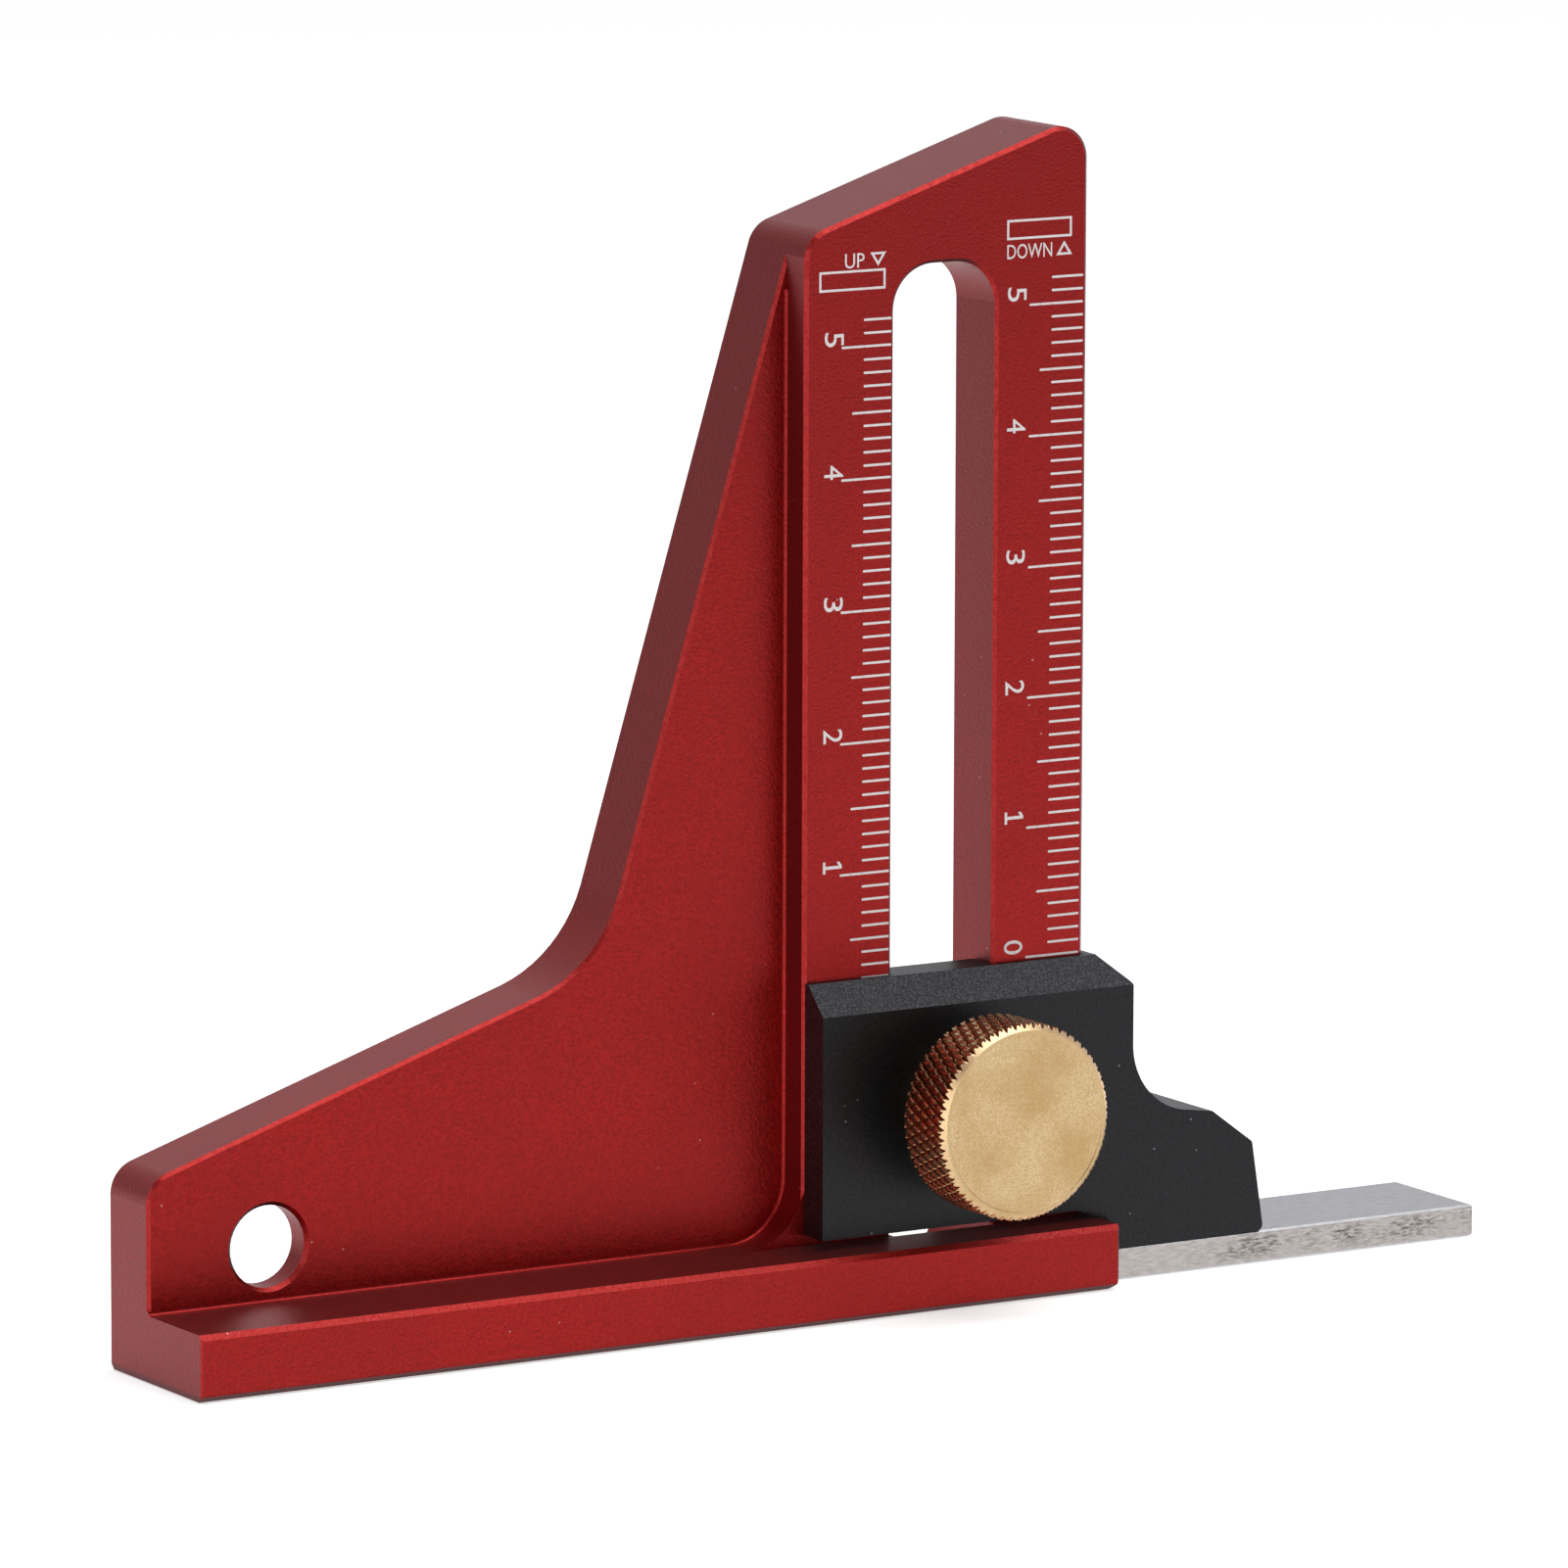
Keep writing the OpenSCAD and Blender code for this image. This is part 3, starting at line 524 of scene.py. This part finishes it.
# All faces but the front and back ones are blasted harder, with deeper bead marks, and
# carry painted glints of single grains, drawn at 0.13 mm
facing = add_node(tree, "ShaderNodeSeparateXYZ", {}, {0: place.outputs["Normal"]})
frontal = add_node(tree, "ShaderNodeMath", {}, {0: facing.outputs["Y"]}, operation="ABSOLUTE")
side_faces = add_node(tree, "ShaderNodeMapRange",
                        {"From Min": 0.80, "From Max": 0.92, "To Min": 1.0, "To Max": 0.0},
                        {"Value": frontal.outputs[0]})
grains = add_node(tree, "ShaderNodeTexNoise", {"Scale": 1 / (0.13 * mm), "Detail": 1.0},
                  {"Vector": place.outputs["Object"]})
glint_grains = add_node(tree, "ShaderNodeMapRange",
                      {"From Min": 0.44, "From Max": 0.66, "To Min": 0.0, "To Max": 0.26},
                      {"Value": grains.outputs[0]})
painted_glints = add_node(tree, "ShaderNodeMath", {},
                   {0: glint_grains.outputs[0], 1: side_faces.outputs[0]}, operation="MULTIPLY")
glinted = add_node(tree, "ShaderNodeMix", {7: linear("#787880")},
                      {0: painted_glints.outputs[0], 6: dusty.outputs[2]}, data_type="RGBA")
tree.links.new(glinted.outputs[2], shader.inputs["Base Color"])
dullness = add_node(tree, "ShaderNodeMapRange",
                    {"From Min": 0.3, "From Max": 0.7, "To Min": 0.40, "To Max": 0.52},
                    {"Value": beads.outputs[0]})
tree.links.new(dullness.outputs[0], shader.inputs["Roughness"])
blast_depth = add_node(tree, "ShaderNodeMapRange", {"To Min": 0.3, "To Max": 0.65},
                       {"Value": side_faces.outputs[0]})
relief = add_node(tree, "ShaderNodeBump", {"Distance": 0.045 * mm},
                  {"Height": beads.outputs[0], "Strength": blast_depth.outputs[0]})
tree.links.new(relief.outputs[0], shader.inputs["Coat Normal"])
tree.links.new(relief.outputs[0], shader.inputs["Normal"])
for material_slot in frame["nodes"]["slider"].material_slots:
    material_slot.material = black_finish

# Measuring bar

# Flat stainless strip, surface-ground on its faces, with its long edges cut by a
# coarser tool, so the faces are satin and the edges are speckled.
ground_finish = bpy.data.materials.new("ground_stainless_steel")
ground_finish.use_nodes = True
tree = ground_finish.node_tree
shader = tree.nodes["Principled BSDF"]
shader.inputs["Metallic"].default_value = 1.0
place = add_node(tree, "ShaderNodeTexCoord")
# Grinding marks run along the bar, about 0.2 mm apart and 1 mm long
along = add_node(tree, "ShaderNodeMapping",
                 {"Scale": (1 / (0.9 * mm), 1 / (0.2 * mm), 1 / (0.2 * mm))},
                 {"Vector": place.outputs["Object"]})
grind = add_node(tree, "ShaderNodeTexNoise", {"Scale": 1.0, "Detail": 4.0, "Roughness": 0.6},
                 {"Vector": along.outputs[0]})
# The long edges are scuffed: dark flecks, 0.2 mm high and 0.8 mm long, on about the
# outer two thirds
fleck_place = add_node(tree, "ShaderNodeMapping",
                       {"Scale": (1 / (0.8 * mm), 1 / (2 * mm), 1 / (0.2 * mm))},
                       {"Vector": place.outputs["Object"]})
flecks = add_node(tree, "ShaderNodeTexNoise", {"Scale": 1.0, "Detail": 5.0, "Roughness": 0.75},
                  {"Vector": fleck_place.outputs[0]})
fleck = add_node(tree, "ShaderNodeMapRange", {"From Min": 0.46, "From Max": 0.60},
                 {"Value": flecks.outputs[0]})
patches = add_node(tree, "ShaderNodeTexNoise", {"Scale": 1 / (5 * mm), "Detail": 2.0},
                   {"Vector": place.outputs["Object"]})
patch = add_node(tree, "ShaderNodeMapRange", {"From Min": 0.30, "From Max": 0.52},
                 {"Value": patches.outputs[0]})
along_bar = add_node(tree, "ShaderNodeSeparateXYZ", {}, {0: place.outputs["Object"]})
outer_part = add_node(tree, "ShaderNodeMapRange",
                      {"From Min": 45 * mm, "From Max": 53 * mm, "To Min": 0.05, "To Max": 1.0},
                      {"Value": along_bar.outputs["X"]})
facing = add_node(tree, "ShaderNodeSeparateXYZ", {}, {0: place.outputs["Normal"]})
sideways = add_node(tree, "ShaderNodeMath", {}, {0: facing.outputs["Y"]}, operation="ABSOLUTE")
edge_face = add_node(tree, "ShaderNodeMapRange", {"From Min": 0.75, "From Max": 0.95},
                     {"Value": sideways.outputs[0]})
scuff_here = add_node(tree, "ShaderNodeMath", {}, {0: patch.outputs[0], 1: outer_part.outputs[0]},
                      operation="MULTIPLY")
scuff_edge = add_node(tree, "ShaderNodeMath", {},
                      {0: scuff_here.outputs[0], 1: edge_face.outputs[0]}, operation="MULTIPLY")
scuff_fleck = add_node(tree, "ShaderNodeMath", {}, {0: scuff_edge.outputs[0], 1: fleck.outputs[0]},
                       operation="MULTIPLY")
# Most of them lie a little above the middle of the edge's 2.5 mm
off_middle = add_node(tree, "ShaderNodeMath", {1: 1.35 * mm}, {0: along_bar.outputs["Z"]},
                      operation="SUBTRACT")
off_size = add_node(tree, "ShaderNodeMath", {}, {0: off_middle.outputs[0]}, operation="ABSOLUTE")
middle = add_node(tree, "ShaderNodeMapRange",
                  {"From Min": 0.35 * mm, "From Max": 1.1 * mm, "To Min": 1.0, "To Max": 0.2},
                  {"Value": off_size.outputs[0]})
scuff = add_node(tree, "ShaderNodeMath", {}, {0: scuff_fleck.outputs[0], 1: middle.outputs[0]},
                 operation="MULTIPLY")
contrast = add_node(tree, "ShaderNodeMapRange", {"From Min": 0.30, "From Max": 0.70},
                    {"Value": grind.outputs[0]})
faces = add_node(tree, "ShaderNodeMix", {6: linear("#B6B5B8"), 7: linear("#C8C7CA")},
                 {0: contrast.outputs[0]}, data_type="RGBA")
edges = add_node(tree, "ShaderNodeMix", {6: linear("#A8A3A0"), 7: linear("#C4BFBB")},
                 {0: contrast.outputs[0]}, data_type="RGBA")
steel = add_node(tree, "ShaderNodeMix", {},
                 {0: edge_face.outputs[0], 6: faces.outputs[2], 7: edges.outputs[2]},
                 data_type="RGBA")
scuffed = add_node(tree, "ShaderNodeMix", {7: linear("#655D57")},
                   {0: scuff.outputs[0], 6: steel.outputs[2]}, data_type="RGBA")
tree.links.new(scuffed.outputs[2], shader.inputs["Base Color"])
pattern = add_node(tree, "ShaderNodeMath", {}, {0: grind.outputs[0], 1: scuff.outputs[0]},
                   operation="SUBTRACT")
gloss = add_node(tree, "ShaderNodeMapRange",
                 {"From Min": 0.3, "From Max": 0.7, "To Min": 0.42, "To Max": 0.30},
                 {"Value": pattern.outputs[0]})
tree.links.new(gloss.outputs[0], shader.inputs["Roughness"])
relief = add_node(tree, "ShaderNodeBump", {"Strength": 0.35, "Distance": 0.02 * mm},
                  {"Height": pattern.outputs[0]})
tree.links.new(relief.outputs[0], shader.inputs["Normal"])
for material_slot in frame["nodes"]["measuring_bar"].material_slots:
    material_slot.material = ground_finish

# Bar screws

# Two countersunk socket screws, cold-headed from stainless wire and driven in from
# under the bar. Cold heading leaves them smooth, and a little darker than the bar.
screw_finish = bpy.data.materials.new("cold_headed_screw_steel")
screw_finish.use_nodes = True
tree = screw_finish.node_tree
shader = tree.nodes["Principled BSDF"]
shader.inputs["Metallic"].default_value = 1.0
place = add_node(tree, "ShaderNodeTexCoord")
# The skin of the drawn wire gives faint patches, about 0.5 mm across
forged = add_node(tree, "ShaderNodeTexNoise", {"Scale": 1 / (0.5 * mm), "Detail": 4.0},
                  {"Vector": place.outputs["Object"]})
steel = add_node(tree, "ShaderNodeMix", {6: linear("#77767A"), 7: linear("#AFADAB")},
                 {0: forged.outputs[0]}, data_type="RGBA")
tree.links.new(steel.outputs[2], shader.inputs["Base Color"])
gloss = add_node(tree, "ShaderNodeMapRange", {"To Min": 0.25, "To Max": 0.42},
                 {"Value": forged.outputs[0]})
tree.links.new(gloss.outputs[0], shader.inputs["Roughness"])
relief = add_node(tree, "ShaderNodeBump", {"Strength": 0.25, "Distance": 0.02 * mm},
                  {"Height": forged.outputs[0]})
tree.links.new(relief.outputs[0], shader.inputs["Normal"])
for material_slot in frame["nodes"]["bar_screws"].material_slots:
    material_slot.material = screw_finish

# Thumb screw

# Turned from brass bar: a head with a diamond knurl, chamfered after knurling, a
# neck that bears on the slider, and a threaded stud. The face is left satin from
# the lathe, and the knurl's grooves have darkened.

# It is modelled upright in millimetres, and laid in its place at the end. Its axis is
# the joint's, and its two ends are those of the CAD solid.
knob_axis = next(joint["pos_m"] for joint in frame["joints"] if joint["name"] == "knob_turn")
knob_x = round(knob_axis[0] / mm, 3)
knob_z = round(knob_axis[2] / mm, 3)
screw_low, screw_high = box_in_mm("thumb_screw")
knob_front = screw_low[1]
stud_end = screw_high[1]
knob_r, neck_r, stud_r = 7.55, 4.0, 2.0
knob_l, neck_l = 5.8, 3.5
knob_back = knob_front + knob_l
neck_end = knob_back + neck_l
knurl_teeth = 57
knurl_angle = math.radians(23)
on_it = 0.01             # an end this close to a height is taken to be on it


def select_edges(piece, wanted):
    """Leaves the piece in edit mode with those edges selected; wanted takes two ends."""
    bpy.ops.object.select_all(action="DESELECT")
    piece.select_set(True)
    bpy.context.view_layer.objects.active = piece
    bpy.ops.object.mode_set(mode="EDIT")
    bpy.ops.mesh.select_mode(type="EDGE")
    bpy.ops.mesh.select_all(action="DESELECT")
    bpy.ops.object.mode_set(mode="OBJECT")
    for edge in piece.data.edges:
        edge.select = wanted(*(piece.data.vertices[i].co for i in edge.vertices))
    bpy.ops.object.mode_set(mode="EDIT")


def add_shape(piece, other):
    """Adds the other shape to the piece, and uses it up."""
    bpy.ops.object.select_all(action="DESELECT")
    piece.select_set(True)
    bpy.context.view_layer.objects.active = piece
    step = piece.modifiers.new("add_shape", "BOOLEAN")
    step.operation = "UNION"
    step.solver = "EXACT"
    step.object = other
    bpy.ops.object.modifier_apply(modifier=step.name)
    bpy.data.objects.remove(other)


# Two wheels roll crossing helical grooves into the bar, and the one that leans to the
# left bites deeper. The rims are chamfered afterwards, which leaves them scalloped.
tooth_sides, knurl_rows = 12, 72     # fineness of the mesh
bpy.ops.object.select_all(action="DESELECT")
bpy.ops.mesh.primitive_cylinder_add(
    vertices=tooth_sides * knurl_teeth, radius=knob_r, depth=knob_l)
knurled_head = bpy.context.object
select_edges(knurled_head, lambda a, b: abs(a.z - b.z) > knob_l / 2)
bpy.ops.mesh.subdivide(number_cuts=knurl_rows - 1)
bpy.ops.object.mode_set(mode="OBJECT")
deep_groove, shallow_groove, rim_chamfer = 0.48, 0.30, 0.5
crest_over = 0.10        # the crests would stand this high, but are rolled flat
for vertex in knurled_head.data.vertices:
    x, y, z = vertex.co
    around, twist = math.atan2(y, x), z * math.tan(knurl_angle) / knob_r
    deep = abs(math.sin(knurl_teeth / 2 * (around - twist)))
    shallow = abs(math.sin(knurl_teeth / 2 * (around + twist)))
    from_rim = knob_l / 2 - abs(z)
    radius = min(knob_r + crest_over - deep_groove * (1 - deep),
                 knob_r + crest_over - shallow_groove * (1 - shallow),
                 knob_r - max(0.0, rim_chamfer - from_rim))
    vertex.co.x, vertex.co.y = x / knob_r * radius, y / knob_r * radius
# The facing cut stops short of the rim and leaves a hair-fine step
facing_stop, step_w, step_h = 0.22, 0.05, 0.04
select_edges(knurled_head, lambda a, b: False)     # none, so all is deselected
bpy.ops.mesh.select_mode(type="FACE")
bpy.ops.object.mode_set(mode="OBJECT")
for face in knurled_head.data.polygons:
    face.select = face.normal.z > 0.99 and len(face.vertices) > 4
bpy.ops.object.mode_set(mode="EDIT")
bpy.ops.mesh.inset(thickness=facing_stop, depth=0.0)
bpy.ops.mesh.inset(thickness=step_w, depth=-step_h)
bpy.ops.object.mode_set(mode="OBJECT")

# Neck, with a small relief groove turned beside the head
neck_sunk = 0.3          # reaches this far into the head
relief_from, relief_l = 0.05, 0.45     # the groove's distance from the head, and its length
relief_share = 0.93      # the groove's radius, of the neck's
neck_sides, neck_chamfer = 128, 0.3
relief_z = -knob_l / 2 - relief_from
relief_end_z = relief_z - relief_l
bpy.ops.object.select_all(action="DESELECT")
bpy.ops.mesh.primitive_cylinder_add(
    vertices=neck_sides, radius=neck_r, depth=neck_l + neck_sunk,
    location=(0.0, 0.0, -knob_l / 2 - neck_l / 2 + neck_sunk / 2))
neck = bpy.context.object
bpy.ops.object.transform_apply(location=True, rotation=False, scale=False)
bpy.ops.object.mode_set(mode="EDIT")
for cut_z in (relief_z, relief_end_z):
    bpy.ops.mesh.select_all(action="SELECT")
    bpy.ops.mesh.bisect(plane_co=(0.0, 0.0, cut_z), plane_no=(0.0, 0.0, 1.0))
bpy.ops.object.mode_set(mode="OBJECT")
select_edges(neck, lambda a, b: max(abs(a.z - relief_z), abs(b.z - relief_z)) < on_it)
bpy.ops.transform.resize(
    value=(relief_share, relief_share, 1.0), center_override=(0.0, 0.0, 0.0))
bpy.ops.object.mode_set(mode="OBJECT")
neck_low = min(v.co.z for v in neck.data.vertices)
select_edges(neck, lambda a, b: max(a.z, b.z) < neck_low + on_it)
bpy.ops.mesh.bevel(offset=neck_chamfer, segments=2)
bpy.ops.object.mode_set(mode="OBJECT")

# Stud with its single-start thread, 0.7 mm a turn, as a bar of uneven section twisted
stud_sunk = 0.4          # reaches this far into the neck
stud_l = stud_end - neck_end + stud_sunk
thread_pitch, thread_depth = 0.7, 0.38
lead_in_l, lead_in_depth = 0.6, 0.55
stud_sides, stud_rows = 24, 160
bpy.ops.object.select_all(action="DESELECT")
bpy.ops.mesh.primitive_cylinder_add(
    vertices=stud_sides, radius=stud_r, depth=stud_l,
    location=(0.0, 0.0, -(neck_end - knob_front) + knob_l / 2 + stud_sunk - stud_l / 2))
stud = bpy.context.object
bpy.ops.object.transform_apply(location=True, rotation=False, scale=False)
select_edges(stud, lambda a, b: abs(a.z - b.z) > stud_l / 2)
bpy.ops.mesh.subdivide(number_cuts=stud_rows - 1)
bpy.ops.object.mode_set(mode="OBJECT")
stud_low = min(v.co.z for v in stud.data.vertices)
for vertex in stud.data.vertices:
    x, y, z = vertex.co
    turn = (math.atan2(y, x) / (2 * math.pi) + (z - stud_low) / thread_pitch) % 1.0
    crest = 1 - abs(2 * turn - 1)
    lead_in = min(1.0, (z - stud_low) / lead_in_l)
    radius = min(stud_r - thread_depth * (1 - crest), stud_r - lead_in_depth * (1 - lead_in))
    vertex.co.x, vertex.co.y = x / stud_r * radius, y / stud_r * radius

add_shape(neck, stud)
add_shape(knurled_head, neck)
thumb_screw = knurled_head
thumb_screw.name = "thumb_screw_turned"
thumb_screw.rotation_euler = (math.pi / 2, 0.0, 0.0)
thumb_screw.scale = (mm, mm, mm)
thumb_screw.location = (knob_x * mm, (knob_front + knob_back) / 2 * mm, knob_z * mm)
bpy.ops.object.select_all(action="DESELECT")
thumb_screw.select_set(True)
bpy.context.view_layer.objects.active = thumb_screw
bpy.ops.object.transform_apply(location=True, rotation=True, scale=True)
bpy.ops.object.mode_set(mode="EDIT")
bpy.ops.mesh.select_all(action="SELECT")
bpy.ops.mesh.remove_doubles(threshold=0.001 * mm)
bpy.ops.mesh.normals_make_consistent(inside=False)
bpy.ops.object.mode_set(mode="OBJECT")
bpy.ops.object.shade_smooth_by_angle(angle=math.radians(22))

brass_finish = bpy.data.materials.new("turned_and_knurled_brass")
brass_finish.use_nodes = True
tree = brass_finish.node_tree
shader = tree.nodes["Principled BSDF"]
shader.inputs["Metallic"].default_value = 1.0
place = add_node(tree, "ShaderNodeTexCoord")
centred = add_node(tree, "ShaderNodeMapping", {"Location": (-knob_x * mm, 0.0, -knob_z * mm)},
                   {"Vector": place.outputs["Object"]})
apart = add_node(tree, "ShaderNodeSeparateXYZ", {}, {0: centred.outputs[0]})
flat = add_node(tree, "ShaderNodeCombineXYZ", {}, {0: apart.outputs["X"], 1: apart.outputs["Z"]})
from_axis = add_node(tree, "ShaderNodeVectorMath", {}, {0: flat.outputs[0]}, operation="LENGTH")
# Lathe rings, nearly polished away, drawn 0.24 mm apart so that they show
rings = add_node(tree, "ShaderNodeMath", {1: 2 * math.pi / (0.24 * mm)},
                 {0: from_axis.outputs["Value"]}, operation="MULTIPLY")
ring_wave = add_node(tree, "ShaderNodeMath", {}, {0: rings.outputs[0]}, operation="SINE")
# Satin grain, drawn at 0.12 mm so that it shows, and a patchy bloom of 4 mm where the
# brass has begun to tarnish
grain = add_node(tree, "ShaderNodeTexNoise",
                 {"Scale": 1 / (0.12 * mm), "Detail": 2.0, "Roughness": 0.8},
                 {"Vector": place.outputs["Object"]})
bloom = add_node(tree, "ShaderNodeTexNoise",
                 {"Scale": 1 / (4.2 * mm), "Detail": 3.0, "Roughness": 0.55},
                 {"Vector": place.outputs["Object"]})
grain_shade = add_node(tree, "ShaderNodeMapRange", {"From Min": 0.38, "From Max": 0.62},
                       {"Value": grain.outputs[0]})
satin = add_node(tree, "ShaderNodeMix", {6: linear("#BC9C6B"), 7: linear("#DAC29A")},
                 {0: grain_shade.outputs[0]}, data_type="RGBA")
bloom_shade = add_node(tree, "ShaderNodeMapRange",
                       {"From Min": 0.38, "From Max": 0.68, "To Min": 0.0, "To Max": 0.6},
                       {"Value": bloom.outputs[0]})
tarnished = add_node(tree, "ShaderNodeMix", {7: linear("#B48F5A")},
                     {0: bloom_shade.outputs[0], 6: satin.outputs[2]}, data_type="RGBA")
# Grooves of the knurl hold oil and dirt: brown at the bottom, brass at the tips
dirt_thick_r, dirt_gone_r = knob_r - 0.37, knob_r + 0.05
face_end_r, rim_start_r = knob_r - 0.75, knob_r - 0.60
groove = add_node(tree, "ShaderNodeMapRange",
                  {"From Min": dirt_thick_r * mm, "From Max": dirt_gone_r * mm,
                   "To Min": 0.95, "To Max": 0.0},
                  {"Value": from_axis.outputs["Value"]})
facing = add_node(tree, "ShaderNodeSeparateXYZ", {}, {0: place.outputs["Normal"]})
frontal = add_node(tree, "ShaderNodeMath", {}, {0: facing.outputs["Y"]}, operation="ABSOLUTE")
on_side = add_node(tree, "ShaderNodeMapRange",
                   {"From Min": 0.5, "From Max": 0.66, "To Min": 1.0, "To Max": 0.0},
                   {"Value": frontal.outputs[0]})
on_head = add_node(tree, "ShaderNodeMapRange",
                   {"From Min": face_end_r * mm, "From Max": rim_start_r * mm},
                   {"Value": from_axis.outputs["Value"]})
on_knurl = add_node(tree, "ShaderNodeMath", {}, {0: on_head.outputs[0], 1: on_side.outputs[0]},
                    operation="MULTIPLY")
dirt = add_node(tree, "ShaderNodeMath", {}, {0: groove.outputs[0], 1: on_knurl.outputs[0]},
                operation="MULTIPLY")
dirty = add_node(tree, "ShaderNodeMix", {7: linear("#AC5537")},
                 {0: dirt.outputs[0], 6: tarnished.outputs[2]}, data_type="RGBA")
# The chamfer between the face and the knurl was cut last and is a little brighter all
# round; its upper part carries a painted highlight
off_face = add_node(tree, "ShaderNodeMapRange",
                    {"From Min": 0.80, "From Max": 0.92, "To Min": 1.0, "To Max": 0.0},
                    {"Value": frontal.outputs[0]})
rim_and_knurl = add_node(tree, "ShaderNodeMath", {},
                         {0: off_face.outputs[0], 1: on_head.outputs[0]}, operation="MULTIPLY")
rim = add_node(tree, "ShaderNodeMath", {}, {0: rim_and_knurl.outputs[0], 1: on_knurl.outputs[0]},
               operation="SUBTRACT", use_clamp=True)
lit_from_above = add_node(tree, "ShaderNodeMapRange",
                 {"From Min": -0.35, "From Max": 0.10, "To Min": 0.1, "To Max": 0.75},
                 {"Value": facing.outputs["Z"]})
rim_highlight = add_node(tree, "ShaderNodeMath", {}, {0: rim.outputs[0], 1: lit_from_above.outputs[0]},
                     operation="MULTIPLY")
cut_and_highlighted = add_node(tree, "ShaderNodeMix", {7: linear("#F8D2A4")},
                       {0: rim_highlight.outputs[0], 6: dirty.outputs[2]}, data_type="RGBA")
tree.links.new(cut_and_highlighted.outputs[2], shader.inputs["Base Color"])
satin_gloss = add_node(tree, "ShaderNodeMapRange",
                       {"From Min": 0.3, "From Max": 0.7, "To Min": 0.30, "To Max": 0.42},
                       {"Value": grain.outputs[0]})
# The wheels burnish the knurl
gloss = add_node(tree, "ShaderNodeMix", {3: 0.22},
                 {0: on_knurl.outputs[0], 2: satin_gloss.outputs[0]}, data_type="FLOAT")
tree.links.new(gloss.outputs[0], shader.inputs["Roughness"])
height = add_node(tree, "ShaderNodeMath", {1: 0.12}, {0: ring_wave.outputs[0]},
                  operation="MULTIPLY")
surface = add_node(tree, "ShaderNodeMath", {}, {0: height.outputs[0], 1: grain.outputs[0]},
                   operation="ADD")
relief = add_node(tree, "ShaderNodeBump", {"Strength": 0.4, "Distance": 0.02 * mm},
                  {"Height": surface.outputs[0]})
tree.links.new(relief.outputs[0], shader.inputs["Normal"])
thumb_screw.data.materials.clear()
thumb_screw.data.materials.append(brass_finish)
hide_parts("thumb_screw")
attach(thumb_screw, "thumb_screw")

# Clamp nut

# Tee nut milled from mild steel bar, its flange in the recess at the back and its
# boss in the slot. It is zinc-plated, which lies pale and cloudy over the cutter marks.
zinc_finish = bpy.data.materials.new("zinc_plated_milled_steel")
zinc_finish.use_nodes = True
tree = zinc_finish.node_tree
shader = tree.nodes["Principled BSDF"]
shader.inputs["Metallic"].default_value = 1.0
place = add_node(tree, "ShaderNodeTexCoord")
# Upright cutter marks, about 0.8 mm apart
cutter = add_node(tree, "ShaderNodeTexWave",
                  {"Scale": 1 / (2.5 * mm), "Distortion": 1.5, "Detail": 2.0},
                  {"Vector": place.outputs["Object"]})
# The plating clouds in patches of about 1.2 mm
zinc = add_node(tree, "ShaderNodeTexNoise",
                {"Scale": 1 / (1.2 * mm), "Detail": 4.0, "Roughness": 0.7},
                {"Vector": place.outputs["Object"]})
plate = add_node(tree, "ShaderNodeMix", {6: linear("#8C8F94"), 7: linear("#C4C5C6")},
                 {0: zinc.outputs[0]}, data_type="RGBA")
tree.links.new(plate.outputs[2], shader.inputs["Base Color"])
gloss = add_node(tree, "ShaderNodeMapRange", {"To Min": 0.28, "To Max": 0.48},
                 {"Value": zinc.outputs[0]})
tree.links.new(gloss.outputs[0], shader.inputs["Roughness"])
relief = add_node(tree, "ShaderNodeBump", {"Strength": 0.2, "Distance": 0.02 * mm},
                  {"Height": cutter.outputs["Fac"]})
tree.links.new(relief.outputs[0], shader.inputs["Normal"])
for material_slot in frame["nodes"]["clamp_nut"].material_slots:
    material_slot.material = zinc_finish

# Last update of the scene
bpy.context.view_layer.update()
